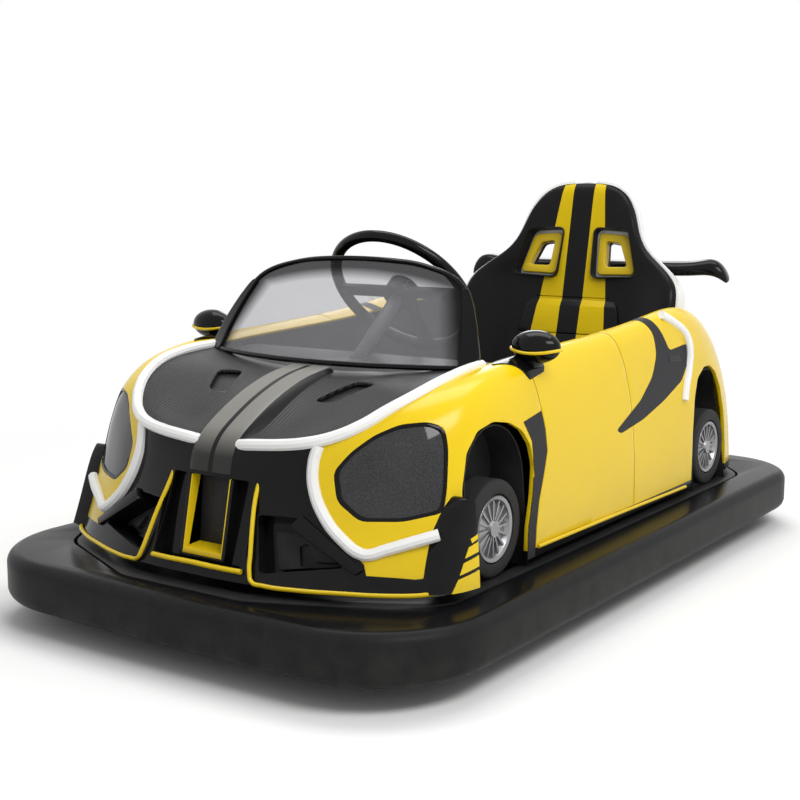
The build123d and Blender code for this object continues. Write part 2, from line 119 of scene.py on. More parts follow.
def ramp(tree, factor, stops):
    """A colour ramp from stops of position and grey value or colour."""
    made = add_node(tree, "ShaderNodeValToRGB", {0: factor})
    elements = made.color_ramp.elements
    while len(elements) < len(stops):
        elements.new(0.5)
    for element, (position, value) in zip(elements, stops):
        element.position = position
        element.color = value if isinstance(value, tuple) else (value, value, value, 1)
    return made.outputs["Color"]


def mix_colour(tree, factor, first, second):
    """Two colours blended by a factor."""
    made = add_node(tree, "ShaderNodeMix", {0: factor, 6: first, 7: second}, data_type="RGBA")
    return made.outputs[2]


def arithmetic(tree, operation, first, second=0.0, third=0.0):
    """The result of a math node."""
    sockets = {0: first, 1: second, 2: third}
    return add_node(tree, "ShaderNodeMath", sockets, operation=operation).outputs[0]


def object_point(tree):
    """The position in the piece's own frame."""
    return add_node(tree, "ShaderNodeTexCoord").outputs["Object"]


def axes_of(tree, vector):
    """A vector split into its axes."""
    return add_node(tree, "ShaderNodeSeparateXYZ", {0: vector}).outputs


def group_tree(name, inputs, outputs):
    """An empty shader group with named sockets."""
    tree = bpy.data.node_groups.new(name, "ShaderNodeTree")
    for label, default in inputs:
        socket = tree.interface.new_socket(label, in_out="INPUT", socket_type="NodeSocketFloat")
        socket.default_value = default
    for label in outputs:
        tree.interface.new_socket(label, in_out="OUTPUT", socket_type="NodeSocketFloat")
    return tree, tree.nodes.new("NodeGroupInput"), tree.nodes.new("NodeGroupOutput")


def make_scuff_group():
    """Fine scratches and hand marks, as a mask."""
    tree, inside, outside = group_tree("Scuffs", [("Scale", 30.0), ("Amount", 0.5)], ["Mask"])
    point = object_point(tree)
    patches = noise(tree, point, 3.5, 4.0)
    stretched = add_node(tree, "ShaderNodeMapping", {"Vector": point, "Scale": (1.0, 6.0, 14.0)})
    settings = {"Vector": stretched.outputs[0], "Scale": inside.outputs["Scale"]}
    lines = add_node(tree, "ShaderNodeTexNoise", settings | {"Detail": 6.0, "Roughness": 0.7})
    thin = ramp(tree, lines.outputs["Fac"], [(0.56, 0.0), (0.74, 1.0)])
    broad = ramp(tree, patches, [(0.45, 0.0), (0.75, 1.0)])
    mask = arithmetic(tree, "MULTIPLY", thin, broad)
    mask = arithmetic(tree, "MULTIPLY", mask, inside.outputs["Amount"])
    tree.links.new(mask, outside.inputs["Mask"])
    return tree


def make_dust_group():
    """Dust that settles low down: a mask that fades with height, broken up by noise."""
    inputs = [("Low", 0.05), ("High", 0.3), ("Amount", 0.3)]
    tree, inside, outside = group_tree("Settled dust", inputs, ["Mask"])
    point = object_point(tree)
    height = axes_of(tree, point)["Z"]
    span = {"Value": height, "From Min": inside.outputs["Low"], "From Max": inside.outputs["High"]}
    fade = add_node(tree, "ShaderNodeMapRange", span | {"To Min": 1.0, "To Max": 0.0})
    speckle = noise(tree, point, 22.0, 8.0)
    spread = ramp(tree, speckle, [(0.35, 0.0), (0.8, 1.0)])
    mask = arithmetic(tree, "MULTIPLY", fade.outputs[0], spread)
    mask = arithmetic(tree, "MULTIPLY", mask, inside.outputs["Amount"])
    tree.links.new(mask, outside.inputs["Mask"])
    return tree


def make_grain_group():
    """Moulded or leather grain: a height, and a mask of its hollows."""
    tree, inside, outside = group_tree("Moulded grain", [("Scale", 400.0)], ["Height", "Hollow"])
    point = object_point(tree)
    settings = {"Vector": point, "Scale": inside.outputs["Scale"], "Smoothness": 0.5}
    cells = add_node(tree, "ShaderNodeTexVoronoi", settings, feature="SMOOTH_F1")
    broad = noise(tree, point, 60.0, 3.0)
    total = arithmetic(tree, "MULTIPLY_ADD", broad, 0.3, cells.outputs["Distance"])
    tree.links.new(total, outside.inputs["Height"])
    hollow = ramp(tree, cells.outputs["Distance"], [(0.1, 0.0), (0.7, 1.0)])
    tree.links.new(hollow, outside.inputs["Hollow"])
    return tree


GROUPS = {"scuffs": make_scuff_group(), "dust": make_dust_group(), "grain": make_grain_group()}


def use_group(tree, key, **values):
    """The outputs of a shared group, with its inputs set by name."""
    made = tree.nodes.new("ShaderNodeGroup")
    made.node_tree = GROUPS[key]
    for name, value in values.items():
        made.inputs[name].default_value = value
    return made.outputs


def start_material(name):
    """A new material, its tree and its Principled shader."""
    material = bpy.data.materials.new(name)
    material.use_nodes = True
    tree = material.node_tree
    return material, tree, tree.nodes["Principled BSDF"]


def bump(tree, height, distance, strength=1.0):
    """A bump normal from a height."""
    sockets = {"Height": height, "Distance": distance, "Strength": strength}
    return add_node(tree, "ShaderNodeBump", sockets).outputs["Normal"]


def surfaced(material, base, rough, relief=None, gloss=0.5):
    """The material with colour, roughness, relief and specular level on its shader."""
    tree = material.node_tree
    sockets = {"Base Color": base, "Roughness": rough, "Specular IOR Level": gloss}
    if relief is not None:
        sockets["Normal"] = relief
    set_sockets(tree, tree.nodes["Principled BSDF"], sockets)
    return material


def gelcoat(name, colour, roughness=0.16, dust=0.25, shade=0.10, gloss=0.5):
    """Glass-fibre gelcoat: a slight peel, faint scuffs, dust low down."""
    material, tree, shader = start_material(name)
    point = object_point(tree)
    cloud = noise(tree, point, 4.0, 3.0)
    darker = tuple(c * (1 - shade) for c in colour[:3]) + (1,)
    base = mix_colour(tree, cloud, darker, colour)
    settled = use_group(tree, "dust", Low=0.15, High=0.34, Amount=dust)["Mask"]
    base = mix_colour(tree, settled, base, (0.10, 0.092, 0.08, 1))
    marks = use_group(tree, "scuffs", Scale=26.0, Amount=0.55)["Mask"]
    base = mix_colour(tree, arithmetic(tree, "MULTIPLY", marks, 0.08), base, (0.4, 0.4, 0.4, 1))
    rough = arithmetic(tree, "MULTIPLY_ADD", marks, 0.22, roughness)
    rough = arithmetic(tree, "MULTIPLY_ADD", settled, 0.35, rough)
    peel = bump(tree, noise(tree, point, 120.0, 2.0), 0.0001, 0.35)
    return surfaced(material, base, rough, peel, gloss)


def moulded(name, colour, roughness=0.42, scale=380.0, depth=0.00018, dust=0.2, gloss=0.16):
    """Moulded plastic or vinyl with a grain."""
    material, tree, shader = start_material(name)
    grain = use_group(tree, "grain", Scale=scale)
    settled = use_group(tree, "dust", Low=0.1, High=0.5, Amount=dust)["Mask"]
    marks = use_group(tree, "scuffs", Scale=18.0, Amount=0.7)["Mask"]
    lighter = tuple(min(1.0, c * 1.4 + 0.002) for c in colour[:3]) + (1,)
    base = mix_colour(tree, grain["Hollow"], colour, lighter)
    base = mix_colour(tree, settled, base, (0.075, 0.07, 0.062, 1))
    rough = arithmetic(tree, "MULTIPLY_ADD", marks, 0.18, roughness)
    return surfaced(material, base, rough, bump(tree, grain["Height"], depth, 0.8), gloss)


def ring_rubber():
    """Skinned rubber: a polished flat top, satin sides with rubbed patches."""
    material, tree, shader = start_material("ring_rubber")
    point = object_point(tree)
    facing = add_node(tree, "ShaderNodeNewGeometry").outputs["Normal"]
    top = ramp(tree, axes_of(tree, facing)["Z"], [(0.80, 0.0), (0.97, 1.0)])
    marks = use_group(tree, "scuffs", Scale=14.0, Amount=1.0)["Mask"]
    settled = use_group(tree, "dust", Low=0.04, High=0.16, Amount=0.3)["Mask"]
    cloud = noise(tree, point, 7.0, 5.0)
    side = mix_colour(tree, cloud, (0.009, 0.009, 0.009, 1), (0.018, 0.018, 0.018, 1))
    side = mix_colour(tree, settled, side, (0.08, 0.076, 0.07, 1))
    base = mix_colour(tree, top, side, (0.006, 0.006, 0.007, 1))
    base = mix_colour(tree, arithmetic(tree, "MULTIPLY", marks, 0.10), base, (0.2, 0.2, 0.2, 1))
    side_rough = arithmetic(tree, "MULTIPLY_ADD", marks, 0.2, 0.40)
    rough = add_node(tree, "ShaderNodeMapRange", {"Value": top, "To Min": side_rough, "To Max": 0.24})
    fine = bump(tree, noise(tree, point, 260.0, 4.0), 0.0001, 0.35)
    return surfaced(material, base, rough.outputs[0], fine, 0.06)


def metal(name, colour, roughness=0.35, metallic=1.0, dust=0.4):
    """Painted or bare metal with dust and rubbed patches."""
    material, tree, shader = start_material(name)
    point = object_point(tree)
    settled = use_group(tree, "dust", Low=0.0, High=0.3, Amount=dust)["Mask"]
    marks = use_group(tree, "scuffs", Scale=22.0, Amount=0.9)["Mask"]
    base = mix_colour(tree, arithmetic(tree, "MULTIPLY", marks, 0.3), colour, (0.45, 0.44, 0.42, 1))
    base = mix_colour(tree, settled, base, (0.12, 0.11, 0.10, 1))
    shader.inputs["Metallic"].default_value = metallic
    rough = arithmetic(tree, "MULTIPLY_ADD", marks, 0.25, roughness)
    return surfaced(material, base, rough, bump(tree, noise(tree, point, 320.0, 3.0), 0.0001, 0.4))


def ribbed_hood(name, stripes):
    """Fine lengthways ribs, their crests painted lighter as a painted highlight; with stripes, two grey
    bands beside the centre line that fade at the nose.
    """
    material, tree, shader = start_material(name)
    point = object_point(tree)
    axes = axes_of(tree, point)
    across = arithmetic(tree, "MULTIPLY", axes["Y"], 2 * pi / RIB_PITCH)
    height = arithmetic(tree, "MULTIPLY_ADD", arithmetic(tree, "SINE", across), 0.5, 0.5)
    cells = noise(tree, point, 150.0, 3.0)
    # Painted highlight: the rib crests get the lighter colour and the grooves stay dark
    broken = arithmetic(tree, "MULTIPLY", height, cells)
    base = mix_colour(tree, arithmetic(tree, "MULTIPLY", broken, 1.3), CARBON_DARK, RIB_CREST_HIGHLIGHT)
    if stripes:
        side = arithmetic(tree, "ABSOLUTE", axes["Y"])
        beyond = arithmetic(tree, "GREATER_THAN", side, 0.0055)
        band = arithmetic(tree, "MULTIPLY", beyond, arithmetic(tree, "LESS_THAN", side, 0.0500))
        fade = ramp(tree, axes["Z"], [(0.385, 0.12), (0.435, 1.0)])
        grain = noise(tree, point, 420.0, 2.0)
        dim = tuple(c * 0.72 for c in STRIPE_GREY[:3]) + (1,)
        grey = mix_colour(tree, grain, dim, STRIPE_GREY)
        base = mix_colour(tree, arithmetic(tree, "MULTIPLY", band, fade), GLOSS_BLACK, grey)
        height = arithmetic(tree, "MULTIPLY", cells, 0.2)
    return surfaced(material, base, 0.30, bump(tree, height, 0.0004, 0.6), 0.16)


def honeycomb_lamp():
    """Smoked lamp cover with a fine cell pattern behind the gloss."""
    material, tree, shader = start_material("lamp_smoke")
    point = object_point(tree)
    settings = {"Vector": point, "Scale": 210.0}
    cells = add_node(tree, "ShaderNodeTexVoronoi", settings, feature="DISTANCE_TO_EDGE")
    walls = ramp(tree, cells.outputs["Distance"], [(0.04, 1.0), (0.16, 0.0)])
    cloud = noise(tree, point, 13.0, 2.0)
    dim = mix_colour(tree, cloud, (0.008, 0.008, 0.009, 1), (0.034, 0.034, 0.036, 1))
    base = mix_colour(tree, arithmetic(tree, "MULTIPLY", walls, 0.35), dim, (0.07, 0.07, 0.075, 1))
    rough = arithmetic(tree, "MULTIPLY_ADD", cloud, 0.06, 0.05)
    return surfaced(material, base, rough, gloss=0.3)


def smoked_screen():
    """Smoked acrylic with a dark border that follows its rim; its pale grey colour is the smoke tint and,
    through the part not transmitted, a painted reflection haze.
    """
    material, tree, shader = start_material("smoked_acrylic")
    marks = use_group(tree, "scuffs", Scale=30.0, Amount=0.8)["Mask"]
    axes = axes_of(tree, object_point(tree))
    side = arithmetic(tree, "ABSOLUTE", axes["Y"])
    spread = arithmetic(tree, "MULTIPLY_ADD", arithmetic(tree, "SUBTRACT", axes["Z"], 0.531), 0.445, side)
    crown = arithmetic(tree, "MULTIPLY_ADD", arithmetic(tree, "MULTIPLY", side, side), 0.5, axes["Z"])
    at_sides = ramp(tree, spread, [(0.285, 0.0), (0.325, 1.0)])
    at_top = ramp(tree, crown, [(0.698, 0.0), (0.722, 1.0)])
    border = arithmetic(tree, "MAXIMUM", at_sides, at_top)
    # Pale grey: the smoke tint for light passing through, and in the small diffuse share a painted
    # reflection haze
    smoke_and_sheen = mix_colour(tree, marks, (0.60, 0.60, 0.62, 1), (0.66, 0.66, 0.66, 1))
    smoke_and_sheen = mix_colour(tree, border, smoke_and_sheen, (0.085, 0.085, 0.088, 1))
    sockets = {"Base Color": smoke_and_sheen, "Roughness": 0.01, "Transmission Weight": 0.86, "IOR": 1.12}
    set_sockets(tree, shader, sockets)
    return material


def seat_skin():
    """Black moulded seat with two yellow stripes that widen downwards."""
    material, tree, shader = start_material("seat_skin")
    axes = axes_of(tree, object_point(tree))
    side = arithmetic(tree, "ABSOLUTE", axes["Y"])
    below = arithmetic(tree, "SUBTRACT", 0.912, axes["Z"])
    outer = arithmetic(tree, "MULTIPLY_ADD", below, 0.1235, 0.062)
    inner = arithmetic(tree, "GREATER_THAN", side, 0.031)
    band = arithmetic(tree, "MULTIPLY", inner, arithmetic(tree, "LESS_THAN", side, outer))
    band = arithmetic(tree, "MULTIPLY", band, arithmetic(tree, "GREATER_THAN", axes["X"], -0.745))
    grain = use_group(tree, "grain", Scale=520.0)
    black = mix_colour(tree, grain["Hollow"], (0.0075, 0.007, 0.0075, 1), (0.011, 0.0105, 0.011, 1))
    base = mix_colour(tree, band, black, SEAT_YELLOW)
    marks = use_group(tree, "scuffs", Scale=18.0, Amount=0.7)["Mask"]
    rough = arithmetic(tree, "MULTIPLY_ADD", marks, 0.2, 0.24)
    return surfaced(material, base, rough, bump(tree, grain["Height"], 0.00006, 0.6), 0.08)


MATERIALS = {
    "yellow": gelcoat("yellow_gelcoat", YELLOW, roughness=0.2, dust=0.10, gloss=0.24),
    "bezel": gelcoat("bezel_yellow", SEAT_YELLOW, roughness=0.2, dust=0.0, gloss=0.24),
    "black": gelcoat("black_gelcoat", GLOSS_BLACK, roughness=0.10, dust=0.05, shade=0.3, gloss=0.15),
    "white": gelcoat("light_strip_white", LIGHT_WHITE, roughness=0.3, dust=0.0, shade=0.04),
    "lamp": honeycomb_lamp(),
    "red": gelcoat("lamp_red", (0.35, 0.008, 0.008, 1), roughness=0.1, dust=0.0),
    "liner": moulded("liner_plastic", SATIN_BLACK),
    "vent": moulded("vent_grey", (0.012, 0.012, 0.014, 1), roughness=0.5, scale=260.0),
    "hood": ribbed_hood("ribbed_hood", False),
    "spine": ribbed_hood("striped_spine", True),
    "seat": seat_skin(),
    "cushion": moulded("cushion_vinyl", (0.009, 0.009, 0.0095, 1), roughness=0.36, scale=420.0, dust=0.0),
    "rubber": ring_rubber(),
    "tyre": moulded("tyre_rubber", (0.016, 0.016, 0.016, 1), roughness=0.65, scale=300.0),
    "steel": metal("frame_paint", (0.02, 0.02, 0.021, 1), roughness=0.45, metallic=0.0),
    "bright": metal("bright_steel", (0.5, 0.5, 0.51, 1), roughness=0.3),
    "silver": metal("disc_silver", (0.30, 0.30, 0.31, 1), roughness=0.36, metallic=0.85, dust=0.2),
    "screen": smoked_screen(),
}


def metres(table):
    """A table in millimetres, however deep its lists, as metres."""
    if isinstance(table, (list, tuple)):
        return [metres(entry) for entry in table]
    return table / 1000


# Piece helpers
def link(name, shape):
    """A new object from a bmesh, which is then freed."""
    mesh = bpy.data.meshes.new(name)
    shape.to_mesh(mesh)
    shape.free()
    piece = bpy.data.objects.new(name, mesh)
    bpy.context.scene.collection.objects.link(piece)
    return piece


def opened(piece):
    """A bmesh holding a piece's mesh."""
    shape = bmesh.new()
    shape.from_mesh(piece.data)
    return shape


def copy_of(piece, name):
    """A copy of a piece under another name."""
    return link(name, opened(piece))


def drop(*pieces):
    """Removes helper pieces."""
    for piece in pieces:
        bpy.data.objects.remove(piece, do_unlink=True)


def settle(piece):
    """Applies the modifiers of a piece to its mesh."""
    depsgraph = bpy.context.evaluated_depsgraph_get()
    done = bpy.data.meshes.new_from_object(piece.evaluated_get(depsgraph))
    piece.modifiers.clear()
    piece.data = done
    return piece


def modified(piece, kind, **settings):
    """The piece with one modifier applied."""
    change = piece.modifiers.new("change", kind)
    for key, value in settings.items():
        setattr(change, key, value)
    return settle(piece)


def rounder(piece, levels=2, corners=False):
    """Subdivision surface, with the same levels in view and render."""
    kept = "PRESERVE_CORNERS" if corners else "ALL"
    return modified(piece, "SUBSURF", levels=levels, render_levels=levels, boundary_smooth=kept)


def thicken(piece, depth, offset=-1.0, even=True):
    """Gives a sheet its depth."""
    return modified(piece, "SOLIDIFY", thickness=depth, offset=offset, use_even_offset=even)


def soften(piece, width=0.0015, segments=2, angle=35):
    """A bevel on the edges sharper than an angle in degrees."""
    settings = {"limit_method": "ANGLE", "angle_limit": radians(angle)}
    return modified(piece, "BEVEL", width=width, segments=segments, **settings)


def cut(piece, tool, operation="DIFFERENCE"):
    """Boolean of a piece with a closed bmesh or object, which is used up."""
    cutter = tool if isinstance(tool, bpy.types.Object) else link("cutter", tool)
    modified(piece, "BOOLEAN", operation=operation, object=cutter, solver="EXACT")
    drop(cutter)
    return piece


def set_smooth(piece, angle=35):
    """Smooth shading, with edges sharper than the angle kept crisp."""
    shape = opened(piece)
    limit = radians(angle)
    for face in shape.faces:
        face.smooth = True
        face.material_index = 0
    for edge in shape.edges:
        edge.smooth = len(edge.link_faces) == 2 and edge.calc_face_angle(0) < limit
    shape.to_mesh(piece.data)
    shape.free()


def finish(piece, key, body=BODY, stands_for=(), angle=35):
    """Shading, material and body of a finished piece."""
    set_smooth(piece, angle)
    piece.data.materials.clear()
    piece.data.materials.append(MATERIALS[key])
    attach(piece, body)
    if stands_for:
        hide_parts(*stands_for)
    return piece


def mirror_copy(piece, name):
    """The same piece on the other side of the car, its faces still outwards."""
    shape = opened(piece)
    bmesh.ops.scale(shape, verts=shape.verts, vec=(1, -1, 1))
    bmesh.ops.reverse_faces(shape, faces=shape.faces)
    return link(name, shape)


def pair_up(piece, key, nodes_left=(), nodes_right=(), angle=35):
    """Finishes a left piece whose name ends in _left, and its mirror on the right."""
    right = mirror_copy(piece, piece.name.replace("_left", "_right"))
    finish(piece, key, stands_for=nodes_left, angle=angle)
    finish(right, key, stands_for=nodes_right, angle=angle)
    return piece, right


def both_in_one(piece):
    """Adds the mirrored half to a piece and joins the two along the centre line."""
    shape = opened(piece)
    for vert in shape.verts:
        if abs(vert.co.y) < SEAM_REACH:
            vert.co.y = 0.0
    seam = [f for f in shape.faces if all(abs(v.co.y) < 0.00002 for v in f.verts)]
    bmesh.ops.delete(shape, geom=seam, context="FACES")
    half = shape.verts[:] + shape.edges[:] + shape.faces[:]
    made = bmesh.ops.duplicate(shape, geom=half)["geom"]
    points = [e for e in made if isinstance(e, bmesh.types.BMVert)]
    faces = [e for e in made if isinstance(e, bmesh.types.BMFace)]
    bmesh.ops.scale(shape, verts=points, vec=(1, -1, 1))
    bmesh.ops.reverse_faces(shape, faces=faces)
    middle = [v for v in shape.verts if abs(v.co.y) < 0.00002]
    bmesh.ops.remove_doubles(shape, verts=middle, dist=0.00005)
    shape.to_mesh(piece.data)
    shape.free()
    return piece


def sheet_of(name, ribs, outward=None, levels=2, corners=False):
    """A smooth open sheet through ribs, which all have the same number of points."""
    shape = bmesh.new()
    chains = []
    for rib in ribs:
        points = [shape.verts.new(p) for p in rib]
        chains.append([shape.edges.new(two) for two in zip(points, points[1:])])
    for before, after in zip(chains, chains[1:]):
        bmesh.ops.bridge_loops(shape, edges=before + after)
    shape.normal_update()
    if outward is not None:
        inner = Vector(outward)
        agreement = sum(f.normal.dot(f.calc_center_median() - inner) * f.calc_area() for f in shape.faces)
        if agreement < 0:
            bmesh.ops.reverse_faces(shape, faces=shape.faces)
    piece = link(name, shape)
    return rounder(piece, levels, corners) if levels else piece


def rounded(points, radius, steps=4):
    """A closed outline with its corners rounded; radius may be one for each corner."""
    points = [Vector(p) for p in points]
    radii = radius if isinstance(radius, (list, tuple)) else [radius] * len(points)
    result = []
    for index, corner in enumerate(points):
        before = points[index - 1] - corner
        after = points[(index + 1) % len(points)] - corner
        reach = min(radii[index], before.length * 0.48, after.length * 0.48)
        if reach < 1e-5:
            result.append(corner)
            continue
        start = corner + before.normalized() * reach
        end = corner + after.normalized() * reach
        for step in range(steps + 1):
            t = step / steps
            result.append(start * (1 - t) ** 2 + corner * 2 * t * (1 - t) + end * t**2)
    return result


def prism(outline, direction, near, far):
    """A closed bar of the outline's shape along a direction, with flat ends."""
    axis = Vector(direction).normalized()
    shape = bmesh.new()
    loops = []
    for level in (near, far):
        points = [shape.verts.new(p - axis * p.dot(axis) + axis * level) for p in map(Vector, outline)]
        loops.append([shape.edges.new((a, b)) for a, b in zip(points, points[1:] + points[:1])])
        bmesh.ops.contextual_create(shape, geom=loops[-1])
    bmesh.ops.bridge_loops(shape, edges=loops[0] + loops[1])
    bmesh.ops.recalc_face_normals(shape, faces=shape.faces)
    return shape


def side_bar(rows, y_from, y_to, radius=0.0):
    """A bar across the car from a side outline of x and z."""
    points = [(x, 0, z) for x, z in rows]
    return prism(rounded(points, radius) if radius else points, (0, 1, 0), y_from, y_to)


def front_bar(rows, x_from, x_to, radius=0.0):
    """A bar along the car from a front outline of y and z."""
    points = [(0, y, z) for y, z in rows]
    return prism(rounded(points, radius) if radius else points, (1, 0, 0), x_from, x_to)


def block(low, high):
    """A box between two corners."""
    low, high = Vector(low), Vector(high)
    shape = bmesh.new()
    bmesh.ops.create_cube(shape, size=1.0)
    bmesh.ops.scale(shape, verts=shape.verts, vec=high - low)
    bmesh.ops.translate(shape, verts=shape.verts, vec=(low + high) / 2)
    return shape


def arc(first, second, third, steps=8):
    """Points of a parabola through three points, in any plane."""
    first, second, third = Vector(first), Vector(second), Vector(third)
    control = second * 2 - (first + third) / 2
    result = []
    for step in range(steps + 1):
        t = step / steps
        result.append(first * (1 - t) ** 2 + control * 2 * t * (1 - t) + third * t**2)
    return result


def tube(name, points, radius, closed=False, sides=3):
    """A round bar along a smooth curve through points."""
    curve = bpy.data.curves.new(name, "CURVE")
    curve.dimensions = "3D"
    curve.bevel_depth = radius
    curve.bevel_resolution = sides
    curve.resolution_u = 8
    curve.use_fill_caps = not closed
    spline = curve.splines.new("BEZIER")
    spline.bezier_points.add(len(points) - 1)
    for place, point in zip(points, spline.bezier_points):
        point.co = place
        point.handle_left_type = point.handle_right_type = "AUTO"
    spline.use_cyclic_u = closed
    holder = bpy.data.objects.new(name + "_line", curve)
    bpy.context.scene.collection.objects.link(holder)
    mesh = bpy.data.meshes.new_from_object(holder.evaluated_get(bpy.context.evaluated_depsgraph_get()))
    drop(holder)
    shape = bmesh.new()
    shape.from_mesh(mesh)
    bmesh.ops.remove_doubles(shape, verts=shape.verts, dist=0.00001)
    return link(name, shape)


def lifted(sheet, name, height):
    """A copy of a sheet moved outwards along its own normals."""
    shape = opened(sheet)
    shape.normal_update()
    for vert in shape.verts:
        vert.co += vert.normal * height
    return link(name, shape)


def patch(name, sheet, outline, direction, near, far, height=0.0006, depth=0.0016):
    """A thin plate that follows a sheet, cut to an outline seen along a direction."""
    plate = thicken(lifted(sheet, name, height), depth)
    return cut(plate, prism(outline, direction, near, far), "INTERSECT")


def dress(node, key, bevel=0.0015, angle=35):
    """A merged copy of a CAD node's mesh, with softened edges, which stands for the node."""
    source = nodes[node]
    shape = opened(source)
    bmesh.ops.remove_doubles(shape, verts=shape.verts, dist=0.00002)
    bmesh.ops.dissolve_limit(shape, angle_limit=radians(0.6), verts=shape.verts, edges=shape.edges)
    piece = link(node + "_skin", shape)
    if bevel:
        soften(piece, bevel, 2, angle)
    set_smooth(piece, angle)
    piece.data.materials.clear()
    piece.data.materials.append(MATERIALS[key])
    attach(piece, source["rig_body"])
    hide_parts(node)
    return piece


# The tables below are in millimetres where they say metres().

# Body side: ribs from the middle of the nose round to the middle of the tail.
# Each runs from the hood line, belt or rear deck, over the shoulder, to the sill, which has one height.
BODY_RIBS = metres([
    [(792, 0, 414), (808, 0, 372), (815, 0, 330), (829, 0, 280), (850, 0, 225), (874, 0)],
    [(792, 70, 413), (806, 70, 372), (814, 70, 330), (828, 70, 280), (850, 70, 225), (874, 72)],
    [(790, 140, 417), (797, 135, 372), (803, 135, 330), (820, 135, 280), (845, 138, 225), (869, 142)],
    [(781, 195, 426), (787, 195, 380), (791, 198, 335), (803, 202, 282), (824, 210, 226), (852, 225)],
    [(757, 243, 434), (765, 247, 392), (775, 252, 337), (783, 262, 285), (799, 280, 228), (824, 300)],
    [(733, 275, 449), (747, 290, 412), (758, 304, 352), (763, 316, 292), (776, 336, 234), (797, 362)],
    [(703, 303, 468), (715, 335, 440), (725, 358, 382), (730, 374, 305), (742, 388, 243), (768, 412)],
    [(666, 326, 489), (677, 371, 473), (688, 404, 422), (695, 425, 335), (708, 436, 260), (734, 448)],
    [(630, 341, 505), (638, 392, 494), (647, 427, 450), (658, 449, 360), (671, 458, 275), (690, 465)],
    [(578, 355, 522), (583, 406, 520), (589, 443, 484), (596, 462, 390), (602, 468, 285), (610, 471)],
    [(520, 357, 533), (520, 407, 541), (520, 445, 509), (520, 464, 405), (520, 470, 290), (520, 472)],
    [(425, 352, 540), (425, 406, 558), (425, 442, 530), (425, 462, 420), (425, 469, 300), (425, 472)],
    [(300, 354, 548), (300, 403, 567), (300, 437, 542), (300, 458, 435), (300, 467, 300), (300, 471)],
    [(120, 356, 556), (120, 402, 575), (120, 435, 551), (120, 454, 445), (120, 465, 305), (120, 470)],
    [(-60, 357, 564), (-60, 403, 585), (-60, 435, 560), (-60, 452, 452), (-60, 464, 308), (-60, 469)],
    [(-236, 358, 577), (-236, 405, 600), (-236, 437, 573), (-236, 452, 462), (-236, 463, 312), (-236, 468)],
    [(-350, 360, 591), (-350, 406, 616), (-350, 439, 590), (-350, 453, 472), (-350, 464, 315), (-350, 468)],
    [(-470, 352, 599), (-470, 400, 611), (-472, 436, 582), (-475, 454, 470), (-477, 464, 318), (-480, 467)],
    [(-570, 335, 590), (-575, 382, 585), (-582, 425, 549), (-590, 448, 445), (-596, 460, 312), (-600, 464)],
    [(-655, 306, 566), (-672, 356, 548), (-690, 402, 502), (-706, 431, 405), (-716, 443, 296), (-722, 448)],
    [(-725, 258, 532), (-752, 310, 502), (-778, 354, 449), (-800, 384, 364), (-812, 396, 277), (-820, 400)],
    [(-765, 185, 506), (-798, 228, 468), (-828, 264, 414), (-850, 287, 338), (-864, 298, 263), (-872, 302)],
    [(-778, 95, 498), (-812, 115, 460), (-844, 132, 405), (-862, 143, 333), (-875, 149, 260), (-883, 152)],
    [(-780, 0, 496), (-815, 0, 458), (-847, 0, 402), (-865, 0, 332), (-877, 0, 260), (-885, 0)],
])
for rib in BODY_RIBS:
    rib[-1].append(SILL_HEIGHT)

# Side outlines, x and z
FRONT_SHUT_POINTS = metres([
    (372, 0, 640), (360, 0, 540), (349, 0, 475), (336, 0, 415), (333, 0, 370), (350, 0, 330),
    (374, 0, 277), (386, 0, 228), (392, 0, 181), (396, 0, 100),
])
FRONT_SHUT = [Vector(point) for point in FRONT_SHUT_POINTS]
REAR_SHUT = arc((0.020, 0, 0.640), (-0.066, 0, 0.440), (-0.062, 0, 0.100))
FRONT_ARCH = metres([
    (668, 140), (648, 270), (640, 345), (618, 408), (581, 444), (530, 455), (475, 446), (430, 425),
    (402, 392), (391, 350), (402, 290), (420, 230), (428, 140),
])
REAR_ARCH = metres([
    (-400, 140), (-412, 300), (-428, 385), (-452, 432), (-500, 455), (-545, 454), (-590, 434),
    (-625, 390), (-648, 320), (-655, 240), (-652, 140),
])


def shut_region(front, rear):
    """The space between two shut lines, as a bar over the left side."""
    half_gap = Vector((SHUT_GAP / 2, 0, 0))
    ahead = [Vector((1.0, 0, 0.10)), Vector((1.0, 0, 0.64))]
    behind = [Vector((-1.0, 0, 0.64)), Vector((-1.0, 0, 0.10))]
    if front:
        ahead = [p - half_gap for p in reversed(front)]
    if rear:
        behind = [p + half_gap for p in rear]
    return prism(ahead + behind, (0, 1, 0), -0.02, 0.60)


# Yellow and black meet along this line on the nose, seen along NOSE_VIEW
NOSE_VIEW = (0.87, 0.32, 0.38)
NOSE_BORDER = metres([
    (760, 225, 470), (772, 216, 400), (786, 222, 345), (789, 257, 288), (784, 300, 247),
    (779, 336, 216), (786, 345, 199), (752, 425, 199), (700, 462, 199), (560, 480, 199),
])
NOSE_CORNERS = metres([(560, 490, 100), (900, 300, 100), (900, -50, 100), (800, -50, 500)])
NOSE_BLACK = NOSE_BORDER + NOSE_CORNERS
HEADLIGHT = metres([
    (762, 252, 374), (740, 276, 410), (712, 308, 440), (685, 346, 460), (657, 392, 466),
    (645, 420, 456), (652, 432, 420), (672, 443, 350), (687, 446, 309), (728, 384, 292),
    (762, 312, 289), (772, 268, 322),
])
HEADLIGHT_VIEW = (0.72, 0.66, 0.22)
INTAKE = metres([(824, 121, 290), (792, 212, 286), (794, 302, 207), (862, 155, 190)])
RECESS_ROWS = metres([(-112, 190), (-101, 345), (101, 345), (112, 190)])


